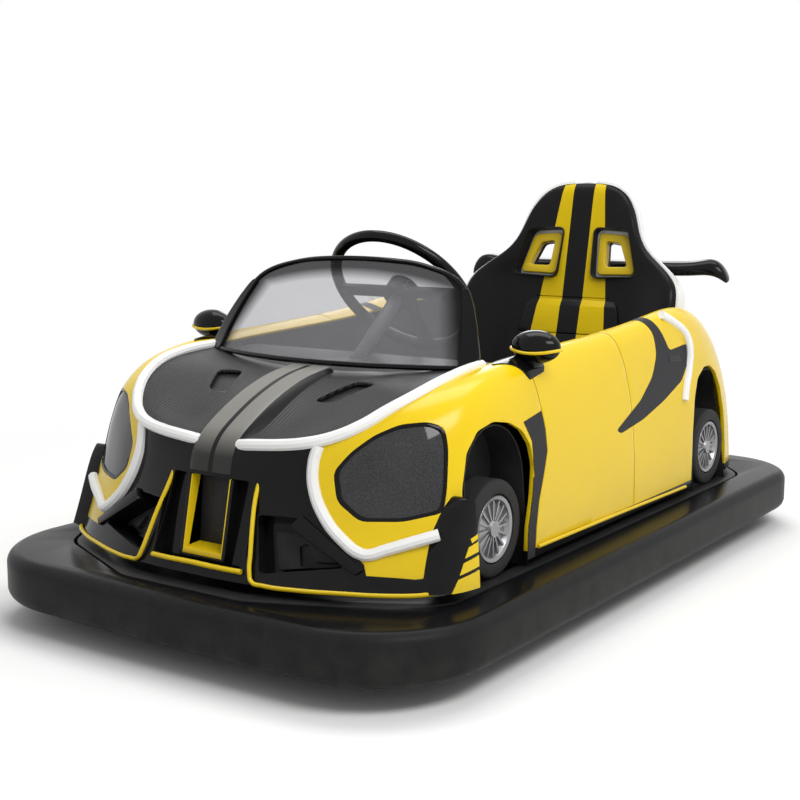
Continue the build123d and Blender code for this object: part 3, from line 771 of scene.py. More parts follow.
def make_body():
    """The left half's shell, cut into its panels, and the mirrored right half."""
    sheet = sheet_of("body_sheet", BODY_RIBS, outward=(0, 0, 0.25), levels=3, corners=True)
    shell = thicken(copy_of(sheet, "body_shell"), SHELL_WALL)
    for rows in (FRONT_ARCH, REAR_ARCH):
        cut(shell, side_bar(rows, 0.30, 0.60, 0.010))
    nose = cut(copy_of(shell, "nose_shell"), prism(NOSE_BLACK, NOSE_VIEW, 0.5, 1.2), "INTERSECT")
    cut(nose, prism(rounded(INTAKE, 0.010), NOSE_VIEW, 0.5, 1.2))
    cut(nose, front_bar(RECESS_ROWS, 0.70, 1.0, 0.008))
    fender = cut(copy_of(shell, "fender_shell_left"), shut_region(None, FRONT_SHUT), "INTERSECT")
    cut(fender, prism(NOSE_BLACK, NOSE_VIEW, 0.5, 1.2))
    cut(fender, prism(rounded(HEADLIGHT, 0.014, 3), HEADLIGHT_VIEW, 0.4, 1.2))
    door = cut(copy_of(shell, "door_shell_left"), shut_region(FRONT_SHUT, REAR_SHUT), "INTERSECT")
    rear = cut(copy_of(shell, "rear_shell_left"), shut_region(REAR_SHUT, None), "INTERSECT")
    tail = copy_of(rear, "tail_shell")
    cut(rear, block((-1.0, -0.1, 0.1), (TAIL_LINE + SHUT_GAP / 2, 0.6, 0.8)))
    cut(tail, block((TAIL_LINE - SHUT_GAP / 2, -0.1, 0.1), (0.2, 0.6, 0.8)))
    for piece in (fender, door, rear, tail):
        cut(piece, block((-1.0, -0.1, 0.1), (1.0, 0.6, SKIRT_TOP)))
    skirt = copy_of(shell, "skirt_shell")
    cut(skirt, block((-1.0, -0.1, SKIRT_TOP), (1.0, 0.6, 0.8)))
    cut(skirt, prism(NOSE_BLACK, NOSE_VIEW, 0.5, 1.2))
    drop(shell)
    for piece in (fender, door, rear):
        soften(piece, 0.0012)
    pair_up(fender, "yellow", ["fender_left"], ["fender_right"])
    pair_up(door, "yellow", ["door_left"], ["door_right"])
    pair_up(rear, "yellow", ["rear_fender_left"], ["rear_fender_right"])
    finish(soften(both_in_one(tail), 0.0012), "yellow", stands_for=["tail_panel"])
    finish(soften(both_in_one(nose), 0.0015), "black", stands_for=["front_fascia"])
    finish(soften(both_in_one(skirt), 0.0015), "black", stands_for=["body_skirt"])
    return sheet


def make_lining():
    """Black panels inside the cockpit, from the belt down to the floor."""
    ribs = []
    for rib in BODY_RIBS[10:20]:
        x, y, z = rib[0]
        low = y - 0.006
        ribs.append([(x, y - 0.001, z - 0.004), (x, y - 0.007, z - 0.05), (x, low, 0.30), (x, low, 0.126)])
    lining = sheet_of("cockpit_lining_left", ribs, outward=(0, 0, 0.3), levels=1, corners=True)
    pair_up(thicken(lining, 0.003), "liner")


# Side decals as side outlines of x and z: dark swoosh, vent panel and blade
SWOOSH = metres([
    (-205, 640), (-232, 600), (-263, 562), (-293, 514), (-396, 522), (-397, 482), (-354, 437),
    (-244, 400), (-129, 372), (-10, 356), (10, 366), (-120, 416), (-190, 462), (-222, 510),
    (-222, 560), (-176, 622),
])
VENT = metres([
    (422, 440), (347, 452), (339, 415), (336, 370), (353, 330), (377, 277), (389, 228), (395, 181),
    (397, 150), (470, 150), (470, 240), (392, 330), (396, 400),
])
BLADE = metres([
    (660, 338), (682, 316), (704, 275), (730, 206), (748, 160), (655, 160), (643, 290), (644, 330),
])
BLADE_RISE = 0.028
BLADE_BARS = metres([
    [(660, 254), (663, 262), (644, 268), (644, 260)],
    [(680, 230), (669, 248), (644, 254), (644, 236)],
    [(696, 202), (684, 222), (644, 229), (644, 209)],
    [(722, 168), (700, 195), (644, 202), (644, 166)],
])
TAIL_LAMP = metres([(335, 300), (320, 352), (190, 352), (175, 300)])
HANDLE_SLOT = metres([(-286, 503), (-350, 497), (-350, 481), (-286, 487)])


def make_side_plates(sheet):
    """Dark plates that follow the side, the blade's yellow bars, the tail lamps, and black plates painted
    as the shade inside the handle slots.
    """
    plates = (
        ("swoosh_left", SWOOSH, 0.0005, "vent"),
        ("vent_plate_left", VENT, 0.0010, "vent"),
        ("side_blade_left", BLADE, BLADE_RISE, "black"),
    )
    for name, rows, height, key in plates:
        outline = [(x, 0, z) for x, z in rows]
        if name != "vent_plate_left":
            outline = rounded(outline, 0.014)
        plate = patch(name, sheet, outline, (0, 1, 0), 0.30, 0.60, height, height + 0.0012)
        if name == "vent_plate_left":
            cut(plate, side_bar(FRONT_ARCH, 0.30, 0.60, 0.010))
        if name == "side_blade_left":
            soften(plate, 0.004, 3)
        pair_up(plate, key)
    bars = None
    for rows in BLADE_BARS:
        outline = [(x, 0, z) for x, z in rows]
        bar = patch("blade_bar", sheet, outline, (0, 1, 0), 0.30, 0.60, BLADE_RISE + 0.0008, 0.002)
        bars = cut(bars, bar, "UNION") if bars else bar
    bars.name = "blade_bars_left"
    pair_up(bars, "yellow")
    lamp = [(0, y, z) for y, z in TAIL_LAMP]
    lamp = patch("tail_lamp_left", sheet, rounded(lamp, 0.014), (1, 0, 0), -1.0, -0.5, 0.0015, 0.004)
    pair_up(soften(lamp, 0.001), "red", ["tail_lamps"])
    # Painted shade: a black plate on the side stands for the shaded inside of each handle slot
    slot = [(x, 0, z) for x, z in HANDLE_SLOT]
    slot = patch("handle_slot_left", sheet, rounded(slot, 0.004, 2), (0, 1, 0), 0.30, 0.60, 0.0012, 0.002)
    pair_up(slot, "black")


def make_headlights():
    """A smoked cover set back behind a dark rim in each fender."""
    sheet = sheet_of("lamp_sheet", BODY_RIBS[2:12], outward=(0, 0, 0.25), levels=3)
    outline = rounded(HEADLIGHT, 0.014, 3)
    middle = sum((Vector(p) for p in HEADLIGHT), Vector()) / len(HEADLIGHT)
    narrow = rounded([middle + (Vector(p) - middle) * 0.93 for p in HEADLIGHT], 0.014, 3)
    cover = patch("lamp_cover_left", sheet, outline, HEADLIGHT_VIEW, 0.4, 1.2, -0.0035, 0.004)
    rim = patch("lamp_rim_left", sheet, outline, HEADLIGHT_VIEW, 0.4, 1.2, -0.0008, 0.006)
    cut(rim, prism(narrow, HEADLIGHT_VIEW, 0.4, 1.2))
    drop(sheet)
    pair_up(soften(rim, 0.001), "black")
    pair_up(cover, "lamp", ["headlights"])


# Hood: ribs across its left half, from the screen to the nose
HOOD_RIBS = metres([
    [(505, 0, 519), (500, 60, 519), (493, 120, 521), (468, 220, 526), (436, 300, 532), (405, 352, 538)],
    [(560, 0, 510), (558, 62, 510), (554, 100, 506), (548, 180, 511), (535, 270, 522), (520, 357, 531)],
    [(620, 0, 494), (618, 64, 494), (614, 110, 487), (610, 180, 493), (603, 275, 508), (592, 353, 517)],
    [(680, 0, 467), (678, 66, 467), (675, 115, 460), (671, 175, 466), (662, 260, 482), (652, 333, 496)],
    [(740, 0, 433), (739, 68, 433), (736, 110, 429), (731, 165, 436), (720, 232, 454), (704, 302, 468)],
    [(778, 0, 417), (778, 68, 417), (775, 110, 419), (771, 150, 424), (763, 195, 434), (748, 255, 442)],
    [(794, 0, 405), (794, 68, 405), (791, 110, 409), (787, 150, 414), (779, 190, 420), (762, 235, 428)],
])

# Spine along the hood and down the nose: x and z of its crest
SPINE_LINE = metres([
    (508, 527.5), (575, 520), (638, 501), (699, 476), (752, 446), (789, 422.5), (810.5, 392),
    (817.5, 354),
])
SPINE_TOP = 0.054
SPINE_FOOT = 0.074
SPINE_PROFILE = [
    (0.0, 0.0),
    (SPINE_TOP * 0.6, 0.0003),
    (SPINE_TOP - 0.004, 0.001),
    (SPINE_TOP + 0.003, 0.005),
    (SPINE_FOOT, 0.024),
]
NOSTRIL = metres([(640, 110), (545, 150), (560, 205), (640, 165)])
NOSTRIL_DEPTH = 0.010


def make_hood():
    """The ribbed panel with its two nostrils, and the striped spine that runs over the nose."""
    sheet = both_in_one(sheet_of("hood_skin", HOOD_RIBS, outward=(0.5, 0, 0.2), corners=True))
    wells = thicken(lifted(sheet, "nostril_wells", -NOSTRIL_DEPTH), 0.003)
    hood = thicken(sheet, 0.006)
    for side in (1, -1):
        rows = [(x, side * y, 0) for x, y in NOSTRIL]
        cut(hood, prism(rounded(rows, 0.018), (0, 0, 1), 0.300, 0.600))
    cut(wells, block((0.53, -0.22, 0.3), (0.66, 0.22, 0.6)), "INTERSECT")
    cut(wells, block((0.50, -0.09, 0.3), (0.70, 0.09, 0.6)))
    finish(soften(hood, 0.0015), "hood", stands_for=["hood"])
    finish(wells, "hood")
    ribs = []
    for index, (x, z) in enumerate(SPINE_LINE):
        ahead = SPINE_LINE[min(index + 1, len(SPINE_LINE) - 1)]
        last = SPINE_LINE[max(index - 1, 0)]
        run = Vector((ahead[0] - last[0], 0, ahead[1] - last[1])).normalized()
        down = Vector((run.z, 0, -run.x))
        half = [Vector((x, y, z)) + down * depth for y, depth in SPINE_PROFILE]
        ribs.append([Vector((p.x, -p.y, p.z)) for p in reversed(half[1:])] + half)
    spine = thicken(sheet_of("hood_spine", ribs, outward=(0.5, 0, 0.2)), 0.004)
    finish(spine, "spine")


# Light strips, points on their centre lines
STRIP_RADIUS = 0.0115
HOOD_STRIP = metres([
    (405, 350, 541), (431, 352, 540), (482, 356, 537), (530, 357, 531), (580, 353, 521),
    (632, 340, 504), (682, 316, 482), (723, 285, 456), (755, 246, 436), (777, 200, 424),
    (787, 150, 417), (791, 105, 413), (791, 75, 410), (787, 50, 406),
])
CHEEK_STRIP = metres([
    (768, 224, 420), (776, 219, 390), (785, 226, 345), (789, 254, 294), (786, 290, 258),
    (780, 326, 236), (774, 340, 234), (757, 366, 243), (728, 412, 260), (703, 446, 272),
])
REAR_STRIP = metres([
    (-290, 424, 598), (-350, 434, 573), (-392, 443, 546), (-402, 450, 516), (-394, 454, 468),
    (-372, 458, 424), (-358, 461, 388),
])


def make_strips():
    """Round light strips let into the hood's edge, the cheeks and the rear fenders."""
    round_hood = tube("hood_strip_left", HOOD_STRIP, STRIP_RADIUS)
    pair_up(round_hood, "white", ["hood_light_strip"])
    pair_up(tube("cheek_strip_left", CHEEK_STRIP, STRIP_RADIUS), "white")
    pair_up(tube("rear_strip_left", REAR_STRIP, 0.0102), "white")


# Pinstripe on the nose lip of the left half
PINSTRIPE = metres([
    (800, 108, 345), (817, 112, 312), (836, 121, 270), (854, 131, 222), (866, 138, 190),
    (870, 146, 175), (867, 170, 171), (852, 226, 169), (822, 306, 169), (780, 394, 169),
    (742, 446, 171), (722, 460, 173),
])
NOSE_BAR_LINE = metres([
    (866, -108, 188), (871, -60, 189), (872, 0, 190), (871, 60, 189), (866, 118, 188),
])

# The yellow liner of the channel in the nose, and the black block round it
CHANNEL_HALF = 0.0495
CHANNEL_WALL = 0.0022
CHANNEL_BLOCK = 0.008

SILL_LINE = metres([
    (385, 474, 187), (200, 474, 185), (0, 472, 182), (-180, 471, 179), (-360, 470, 176),
])
INTAKE_BAR = metres([(792, 206, 292), (779, 338, 206), (790, 326, 196), (806, 190, 270)])
INNER_PANEL = metres([(822, 153, 267), (799, 222, 267), (797, 290, 215), (844, 176, 200)])
PANEL_SLOT = metres([
    (815, 204, 243), (807, 218, 248), (813, 240, 218), (798, 282, 219), (801, 282, 205),
    (824, 214, 208),
])


def make_nose():
    """Intake tubs, centre recess, the yellow-lined channel and the pinstripes."""
    axis = Vector(NOSE_VIEW).normalized()
    outer = rounded(INTAKE, 0.010)
    middle = sum(outer, Vector()) / len(outer)
    front = middle.dot(axis) - 0.006
    wide = [middle + (p - middle) * 1.04 for p in outer]
    inner = [middle + (p - middle) * 0.985 for p in outer]
    tub = link("intake_tub_left", prism(wide, NOSE_VIEW, front - 0.060, front))
    cut(tub, prism(inner, NOSE_VIEW, front - 0.045, front + 0.05))
    pair_up(tub, "black")
    outline = rounded(INNER_PANEL, 0.006)
    plate = link("intake_panel_left", prism(outline, NOSE_VIEW, front - 0.046, front - 0.026))
    cut(plate, prism(rounded(PANEL_SLOT, 0.003, 2), NOSE_VIEW, front - 0.036, front + 0.1))
    pair_up(soften(plate, 0.0015), "vent")
    rows = [(-0.120, 0.170), (-0.110, 0.352), (0.110, 0.352), (0.120, 0.170)]
    core = link("nose_core", front_bar(rows, 0.760, 0.862))
    cut(core, side_bar([(0.900, 0.183), (0.835, 0.183), (0.785, 0.362), (0.900, 0.362)], -0.112, 0.112))
    cut(core, side_bar([(0.868, 0.160), (0.806, 0.360), (0.950, 0.360), (0.950, 0.160)], -0.2, 0.2))
    inside = CHANNEL_HALF - CHANNEL_WALL
    cut(core, side_bar([(0.900, 0.205), (0.788, 0.205), (0.774, 0.348), (0.900, 0.348)], -inside, inside))
    finish(core, "black")
    rows = [(0.814, 0.344), (0.845, 0.196), (0.770, 0.196), (0.770, 0.344)]
    channel = link("nose_channel", side_bar(rows, -CHANNEL_HALF, CHANNEL_HALF))
    rows = [(0.900, 0.400), (0.900, 0.202), (0.794, 0.209), (0.782, 0.352), (0.782, 0.400)]
    cut(channel, side_bar(rows, -inside, inside))
    finish(soften(channel, 0.0006), "yellow")
    rows = [(0.8137, 0.344), (0.8461, 0.1880), (0.770, 0.1880), (0.770, 0.344)]
    outer = CHANNEL_HALF + CHANNEL_BLOCK
    holder = link("nose_channel_block", side_bar(rows, -outer, outer))
    rows = [(0.900, 0.400), (0.900, 0.1962), (0.760, 0.1962), (0.760, 0.400)]
    cut(holder, side_bar(rows, -CHANNEL_HALF, CHANNEL_HALF))
    finish(soften(holder, 0.0008), "black", stands_for=["nose_frame"])
    rows = [(0.798, 0.2095), (0.786, 0.343), (0.778, 0.343), (0.790, 0.2095)]
    back = link("nose_channel_back", side_bar(rows, 0.0002 - inside, inside - 0.0002))
    finish(soften(back, 0.001), "vent")
    pair_up(tube("nose_pinstripe_left", PINSTRIPE, 0.0042), "yellow")
    finish(tube("nose_bar", NOSE_BAR_LINE, 0.0050), "yellow")
    outline = rounded(INTAKE_BAR, 0.004, 2)
    bar = link("intake_bar_left", prism(outline, NOSE_VIEW, front - 0.030, front + 0.018))
    pair_up(soften(bar, 0.003, 2), "black")
    pair_up(tube("sill_pinstripe_left", SILL_LINE, 0.0038), "yellow")


# Screen ribs: height, edge x, edge y, middle x
SCREEN_ROWS = metres([
    (531, 417, 352, 512),
    (559, 406, 345, 488),
    (586, 397, 335, 465),
    (612, 385, 324, 443),
    (638, 373, 312, 421),
    (662, 361, 299, 400),
    (686, 350, 283, 380),
    (708, 344, 258, 362),
    (724, 338, 214, 350),
    (736, 333, 145, 342),
])


def make_screen():
    """Curved smoked sheet with a black rim."""
    ribs = []
    for z, edge_x, edge_y, middle_x in SCREEN_ROWS:
        rise = 0.009 if z > 0.72 else 0.0
        ribs.append(arc((edge_x, -edge_y, z), (middle_x, 0, z + rise), (edge_x, edge_y, z), 10))
    glass = sheet_of("windscreen_sheet", ribs, outward=(0.0, 0, 0.5))
    rim = copy_of(glass, "windscreen_rim")
    shape = opened(rim)
    settings = {"thickness": 0.009, "use_boundary": True, "use_even_offset": True}
    band = set(bmesh.ops.inset_region(shape, faces=shape.faces[:], **settings)["faces"])
    bmesh.ops.delete(shape, geom=[f for f in shape.faces if f not in band], context="FACES")
    shape.to_mesh(rim.data)
    shape.free()
    thicken(rim, 0.010, 0.0)
    soften(rim, 0.002, 2, 50)
    finish(rim, "black", stands_for=["windscreen_frame"], angle=50)
    finish(thicken(glass, 0.004), "screen", stands_for=["windscreen"])
    ribs = []
    for z, edge_x, edge_y, middle_x in SCREEN_ROWS[:7]:
        width = 0.040 - 0.026 * (z - SCREEN_ROWS[0][0]) / 0.155
        rib = []
        for y in (edge_y + 0.003, edge_y - width / 2, edge_y - width):
            rib.append((middle_x + (edge_x - middle_x) * (y / edge_y) ** 2, y, z))
        ribs.append(rib)
    pillar = sheet_of("screen_pillar_left", ribs, outward=(0.0, 0, 0.5))
    pair_up(soften(thicken(pillar, 0.012, 0.0), 0.002, 2, 50), "black")


# Seat back, half widths by height up its leaning plane
SEAT_FOOT = (-0.597, 0.500)
SEAT_LEAN = radians(14.4)
SEAT_ROLL = metres([0, 1, 4, 10])
BEZEL_OUTER = metres([(56, 294), (144, 288), (176, 180), (63, 177)])
BEZEL_HOLE = metres([(79, 271), (122, 265), (150, 201), (85, 200)])
SEAT_ROWS = metres([
    (-300, 318), (-60, 321), (40, 322), (105, 322), (140, 316), (168, 299), (193, 272), (215, 244),
    (236, 218), (262, 194), (295, 177), (330, 165), (362, 151), (388, 134), (405, 115), (418, 93),
    (425.5, 70), (429.5, 42), (431, 18),
])
FACE_GROOVE = metres([(-112, 110.5), (-112, 113), (112, 113), (112, 110.5)])
PAD_SEAM = metres([(-300, 7), (-300, 9.5), (300, 9.5), (300, 7)])
LUMBAR = metres([
    (-150, 30), (-140, 85), (-118, 116), (118, 116), (140, 85), (150, 30), (158, -100),
    (-158, -100),
])


def on_seat(across, up, out=0.0):
    """A point given across the seat, up its back and out from its face."""
    x = SEAT_FOOT[0] - up * sin(SEAT_LEAN) + out * cos(SEAT_LEAN)
    z = SEAT_FOOT[1] + up * cos(SEAT_LEAN) + out * sin(SEAT_LEAN)
    return Vector((x, across, z))


def seat_bar(rows, low, high, radius=0.0, grow=0.0):
    """A bar through the seat from an outline across and up its back."""
    points = [on_seat(across, up) for across, up in grown(rows, grow)]
    face = on_seat(0, 0)
    axis = on_seat(0, 0, 1) - face
    outline = rounded(points, radius) if radius else points
    return prism(outline, axis, face.dot(axis) + low, face.dot(axis) + high)


def grown(rows, grow):
    """An outline of across and up, moved away from its middle."""
    centre = Vector((sum(a for a, b in rows), sum(b for a, b in rows))) / len(rows)
    result = []
    for row in rows:
        away = Vector(row) - centre
        place = centre + away * (1 + grow / away.length)
        result.append((place.x, place.y))
    return result


def seat_sheet(name, profiles, outward):
    """A sheet over the seat's outline; profiles give share of the half width and height off the face."""
    ribs = []
    for up, half, profile in profiles:
        side = [on_seat(half * share, up, out) for share, out in profile]
        ribs.append([Vector((p.x, -p.y, p.z)) for p in reversed(side[1:])] + side)
    return sheet_of(name, ribs, outward)


def seat_hollow(up):
    """How far the middle of the seat's face lies off the plane of its back, by height."""
    return -0.012 - 0.055 * max(0.0, 0.43 - max(up, -0.02))


def make_seat():
    """The black moulded back with bolsters, its white back shell, and the harness bezels."""
    front, back = [], []
    for up, half in SEAT_ROWS:
        wing = 0.030 * max(0.0, min(1.0, (0.24 - up) / 0.12)) + 0.006
        low = seat_hollow(up)
        edge = [(0.80, wing * 0.55 - 0.010), (0.93, wing - 0.006)]
        edge += [(0.985, wing - 0.012), (1.0, wing - 0.022)]
        raised = max(0.0, min(1.0, (0.415 - up) / 0.06))
        low -= 0.010 * max(0.0, (up - 0.400) / 0.031) ** 2
        rolled = zip(edge, SEAT_ROLL)
        edge = [(share, low + (out - low) * raised - (1 - raised) * drop) for (share, out), drop in rolled]
        front.append((up, half, [(0.0, low), (0.35, low), (0.58, low + 0.004 * raised)] + edge))
        lift = up + 0.006 if up > 0.3 else up
        deep = seat_hollow(up) - 0.026
        side = [(0.86, min(deep, -0.052)), (0.97, -0.054), (1.0, -0.046), (1.0, wing - 0.026)]
        back.append((lift, half + 0.007, [(0.0, deep), (0.5, deep)] + side))
    face = thicken(seat_sheet("seat_face", front, (-1.2, 0, 0.6)), 0.010, even=False)
    shell = thicken(seat_sheet("seat_back_shell", back, (1.2, 0, 0.6)), 0.006, even=False)
    border = grown(BEZEL_OUTER, 0.014)
    for mirror in (1, -1):
        cut(face, seat_bar([(a * mirror, b) for a, b in border], -0.2, 0.2, 0.020))
        cut(shell, seat_bar([(a * mirror, b) for a, b in BEZEL_HOLE], -0.2, 0.2, 0.010))
    level = seat_hollow(0.11)
    cut(face, seat_bar(FACE_GROOVE, level - 0.005, level + 0.03))
    finish(face, "seat", stands_for=["seat_shell"])
    finish(shell, "white")
    recess = link("bezel_recess_left", seat_bar(border, -0.066, -0.014, 0.020, 0.003))
    cut(recess, seat_bar(border, -0.052, 0.1, 0.019, -0.001))
    cut(recess, seat_bar(BEZEL_HOLE, -0.1, 0.1, 0.010))
    pair_up(recess, "liner")
    bezel = link("harness_bezel_left", seat_bar(BEZEL_OUTER, -0.058, -0.031, 0.016))
    cut(bezel, seat_bar(BEZEL_HOLE, -0.1, 0.1, 0.010))
    pair_up(soften(bezel, 0.005, 3), "bezel")
    level = seat_hollow(0.02) + 0.012
    pad = link("lumbar_pad", seat_bar(LUMBAR, level - 0.030, level, 0.010))
    under = level - 0.013
    over = level + 0.05
    slope = [(0.086, level), (0.120, under), (0.150, under), (0.150, over), (0.086, over)]
    cut(pad, prism([on_seat(0, up, out) for up, out in slope], (0, 1, 0), -0.3, 0.3))
    cut(pad, seat_bar(PAD_SEAM, level - 0.006, level + 0.02))
    finish(soften(pad, 0.003, 3), "seat")


def make_cushion():
    """Bench pad, swollen by a short cloth simulation."""
    low, high = [Vector(c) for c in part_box("seat_cushion")]
    inset = Vector((0.012, 0.012, 0.008))
    shape = block(low + inset, high - inset)
    bmesh.ops.bevel(
        shape, geom=shape.edges[:], offset=0.024, segments=3, profile=0.5, affect="EDGES", material=-1
    )
    pad = link("seat_cushion_pad", shape)
    modified(pad, "REMESH", mode="VOXEL", voxel_size=0.006)
    before = [v.co.copy() for v in pad.data.vertices]
    change = pad.modifiers.new("swell", "CLOTH")
    change.settings.use_pressure = True
    change.settings.uniform_pressure_force = 4.0
    change.settings.effector_weights.gravity = 0.0
    change.point_cache.frame_end = 20
    scene = bpy.context.scene
    for step in range(1, 21):
        scene.frame_set(step)
    settle(pad)
    scene.frame_set(1)
    for vert, start in zip(pad.data.vertices, before):
        move = vert.co - start
        if move.length > 0.012:
            move = move.normalized() * 0.012
        vert.co = start + move
        vert.co.z = max(vert.co.z, low.z + 0.0005)
    rounder(pad, 1)
    for y in (-0.095, 0.095):
        start = (low.x - 0.02, y - 0.0018, high.z - 0.016)
        cut(pad, block(start, (high.x + 0.02, y + 0.0018, high.z + 0.03)))
    finish(pad, "cushion", stands_for=["seat_cushion"])


MIRROR_PLACE = (0.332, 0.432, 0.577)
MIRROR_SIZE = (0.034, 0.053, 0.0335)
MIRROR_FOOT = metres([(440, 392), (372, 440), (300, 436), (296, 402), (380, 374)])


def make_mirrors(sheet):
    """Rounded pods with a yellow line, on a black foot."""
    shape = bmesh.new()
    bmesh.ops.create_uvsphere(shape, u_segments=32, v_segments=20, radius=1.0)
    for vert in shape.verts:
        if vert.co.x < -0.55:
            vert.co.x = -0.55 - (-0.55 - vert.co.x) * 0.12
    bmesh.ops.scale(shape, verts=shape.verts, vec=MIRROR_SIZE)
    bmesh.ops.translate(shape, verts=shape.verts, vec=MIRROR_PLACE)
    pair_up(link("mirror_pod_left", shape), "black", ["mirrors"], angle=50)
    turns = [k * pi / 12 for k in range(-8, 9)]
    line = []
    for turn in turns:
        height = 0.567 + 0.006 * sin(turn) ** 2
        ahead = MIRROR_PLACE[0] + 0.0340 * cos(turn)
        line.append((ahead, MIRROR_PLACE[1] + 0.0540 * sin(turn), height))
    pair_up(tube("mirror_line_left", line, 0.0032), "yellow")
    outline = rounded([(x, y, 0) for x, y in MIRROR_FOOT], 0.006, 2)
    foot = patch("mirror_foot_left", sheet, outline, (0, 0, 1), 0.40, 0.66, 0.0025, 0.006)
    pair_up(foot, "black")
    stem = link("mirror_stem_left", block((0.312, 0.412, 0.536), (0.352, 0.440, 0.560)))
    pair_up(soften(stem, 0.003), "black")


# Trim disc: radius and depth from the hub outwards
DISC_PROFILE = metres([
    (0, 12), (16, 12), (19, 5), (52, 1), (57, 10), (64, 12), (67.5, 6), (67.5, -10),
])


def make_discs():
    """Silver discs with a raised lip, fine spokes and a hub."""
    for place, name, stands_for in ((0.518, "front", ["trim_discs"]), (-0.540, "rear", [])):
        shape = bmesh.new()
        points = [shape.verts.new((radius, depth, 0)) for radius, depth in DISC_PROFILE]
        edges = [shape.edges.new(two) for two in zip(points, points[1:])]
        bmesh.ops.spin(shape, geom=points + edges, axis=(0, 1, 0), angle=2 * pi, steps=48, use_merge=True)
        bmesh.ops.remove_doubles(shape, verts=shape.verts, dist=0.00005)
        bmesh.ops.recalc_face_normals(shape, faces=shape.faces)
        for index in range(16):
            made = bmesh.ops.create_cube(shape, size=1.0)["verts"]
            bmesh.ops.scale(shape, verts=made, vec=(0.038, 0.008, 0.0042))
            bmesh.ops.translate(shape, verts=made, vec=(0.036, 0.004, 0))
            bmesh.ops.rotate(shape, verts=made, matrix=Matrix.Rotation(index * pi / 8, 3, "Y"))
        bmesh.ops.translate(shape, verts=shape.verts, vec=(place, 0.441, 0.246))
        pair_up(link(f"wheel_disc_{name}_left", shape), "silver", stands_for)


# Rear wing sections across the left half: y, x of the nose and tail edges, height, share of the thickness
WING_RIBS = [
    (0.000, -0.754, -0.868, 0.682, 1.0),
    (0.150, -0.754, -0.868, 0.682, 1.0),
    (0.240, -0.754, -0.868, 0.682, 1.0),
    (0.300, -0.754, -0.866, 0.684, 1.0),
    (0.335, -0.754, -0.856, 0.690, 1.1),
    (0.362, -0.757, -0.838, 0.688, 1.1),
    (0.384, -0.763, -0.816, 0.673, 0.85),
    (0.397, -0.772, -0.800, 0.651, 0.35),
]
WING_POST = metres([(-795, 470), (-845, 420), (-850, 700), (-800, 700)])
WING_SECTION = [
    (0.0, -0.012),
    (0.02, 0.006),
    (0.15, 0.019),
    (0.5, 0.020),
    (1.0, 0.004),
    (1.0, -0.002),
    (0.6, -0.010),
    (0.25, -0.021),
    (0.05, -0.021),
]


def make_wing():
    """Aerofoil with dropped tips on two posts."""
    shape = bmesh.new()
    rings = []
    for y, front, back, z, thick in WING_RIBS:
        points = []
        for share, rise in WING_SECTION:
            points.append(shape.verts.new((front + (back - front) * share, y, z + rise * thick)))
        rings.append([shape.edges.new((a, b)) for a, b in zip(points, points[1:] + points[:1])])
    for before, after in zip(rings, rings[1:]):
        bmesh.ops.bridge_loops(shape, edges=before + after)
    bmesh.ops.contextual_create(shape, geom=rings[-1])
    bmesh.ops.recalc_face_normals(shape, faces=shape.faces)
    wing = both_in_one(rounder(link("rear_wing_blade", shape), 2))
    finish(wing, "black", stands_for=["rear_wing"])
    post = link("wing_post_left", side_bar(WING_POST, 0.150, 0.160, 0.006))
    pair_up(soften(post, 0.0015), "black")


# Floor, lights and camera
def seen_rays(tree):
    """1 for rays that show the backdrop itself: straight, reflected or through glass."""
    path = add_node(tree, "ShaderNodeLightPath").outputs
    seen = arithmetic(tree, "MAXIMUM", path["Is Camera Ray"], path["Is Glossy Ray"])
    return arithmetic(tree, "MAXIMUM", seen, path["Is Transmission Ray"])


def make_stage():
    """A pale floor that turns into the white backdrop with distance."""
    shape = bmesh.new()
    bmesh.ops.create_grid(shape, x_segments=1, y_segments=1, size=30.0)
    floor = link("studio_floor", shape)
    material, tree, shader = start_material("studio_floor")
    shader.inputs["Base Color"].default_value = FLOOR_PALE
    shader.inputs["Roughness"].default_value = 0.9
    shader.inputs["Specular IOR Level"].default_value = 0.1
    away = add_node(tree, "ShaderNodeVectorMath", {0: object_point(tree)}, operation="LENGTH")
    far = arithmetic(tree, "DIVIDE", away.outputs["Value"], 4.0)
    far = ramp(tree, far, [(0.28, 0.0), (0.62, 1.0)])
    glow = add_node(tree, "ShaderNodeEmission", {"Color": (1, 1, 1, 1), "Strength": 1.0})
    share = arithmetic(tree, "MULTIPLY", far, seen_rays(tree))
    mixed = add_node(tree, "ShaderNodeMixShader", {0: share, 1: shader.outputs[0], 2: glow.outputs[0]})
    tree.links.new(mixed.outputs[0], tree.nodes["Material Output"].inputs["Surface"])
    floor.data.materials.append(material)
    world = bpy.data.worlds.new("studio")
    bpy.context.scene.world = world
    world.use_nodes = True
    tree = world.node_tree
    background = tree.nodes["Background"]
    background.inputs["Color"].default_value = (1, 1, 1, 1)
    tree.links.new(arithmetic(tree, "MAXIMUM", seen_rays(tree), 0.55), background.inputs["Strength"])


def area_light(name, place, target, size, power):
    """A rectangular light aimed at a point."""
    lamp = bpy.data.lights.new(name, "AREA")
    lamp.shape = "RECTANGLE"
    lamp.size, lamp.size_y = size
    lamp.energy = power
    holder = bpy.data.objects.new(name, lamp)
    bpy.context.scene.collection.objects.link(holder)
    holder.location = place
    aim = Vector(target) - Vector(place)
    holder.rotation_mode = "QUATERNION"
    holder.rotation_quaternion = aim.to_track_quat("-Z", "Y")


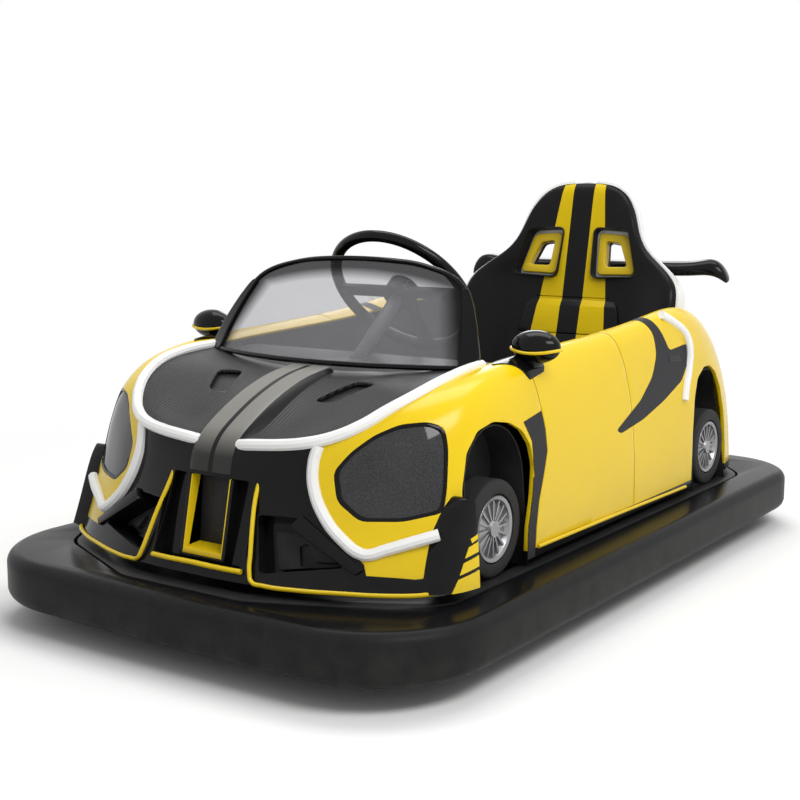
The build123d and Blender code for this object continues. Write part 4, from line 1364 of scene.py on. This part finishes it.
def make_lights():
    """The key, top and rim panels."""
    area_light("key_panel", (1.2, 2.6, 3.0), (0.1, 0.1, 0.4), (2.4, 1.2), 84)
    area_light("top_panel", (-0.4, -0.2, 3.4), (0, 0, 0.4), (3.2, 1.6), 60)
    area_light("rim_panel", (-2.8, -1.6, 2.2), (0, 0, 0.5), (1.6, 1.6), 30)


def make_camera():
    """The camera, placed and turned as fitted to the photograph."""
    camera = bpy.data.cameras.new("view")
    camera.lens = CAMERA_LENS
    camera.sensor_width = 36
    holder = bpy.data.objects.new("view", camera)
    bpy.context.scene.collection.objects.link(holder)
    yaw, pitch = radians(CAMERA_YAW), radians(CAMERA_PITCH)
    ahead = Vector((cos(yaw) * cos(pitch), sin(yaw) * cos(pitch), -sin(pitch)))
    holder.location = CAMERA_PLACE
    holder.rotation_mode = "QUATERNION"
    roll = Matrix.Rotation(radians(CAMERA_ROLL), 4, "Z").to_quaternion()
    holder.rotation_quaternion = ahead.to_track_quat("-Z", "Y") @ roll
    bpy.context.scene.camera = holder


make_stage()
make_lights()
make_camera()
bpy.context.scene.view_settings.view_transform = "Standard"

body_sheet = make_body()
make_side_plates(body_sheet)
make_lining()
make_mirrors(body_sheet)
drop(body_sheet)
make_headlights()
make_hood()
make_strips()
make_nose()
make_screen()
make_seat()
make_cushion()
make_discs()
make_wing()

CARRIED_OVER = {
    "bumper_ring": "rubber",
    "chassis_frame": "steel",
    "floor_pan": "liner",
    "arch_liners": "liner",
    "trim_tyres": "tyre",
    "dashboard": "liner",
    "seat_riser": "liner",
    "battery": "liner",
    "steering_column": "steel",
    "drive_cover": "liner",
    "drive_bearing": "steel",
    "rear_axle": "steel",
    "pedal": "bright",
    "steering_wheel": "black",
    "drive_fork": "steel",
    "drive_tyre": "tyre",
    "drive_rim": "bright",
    "rear_tyre_left": "tyre",
    "rear_tyre_right": "tyre",
    "rear_rim_left": "bright",
    "rear_rim_right": "bright",
}
for node_name, finish_key in CARRIED_OVER.items():
    dress(node_name, finish_key)
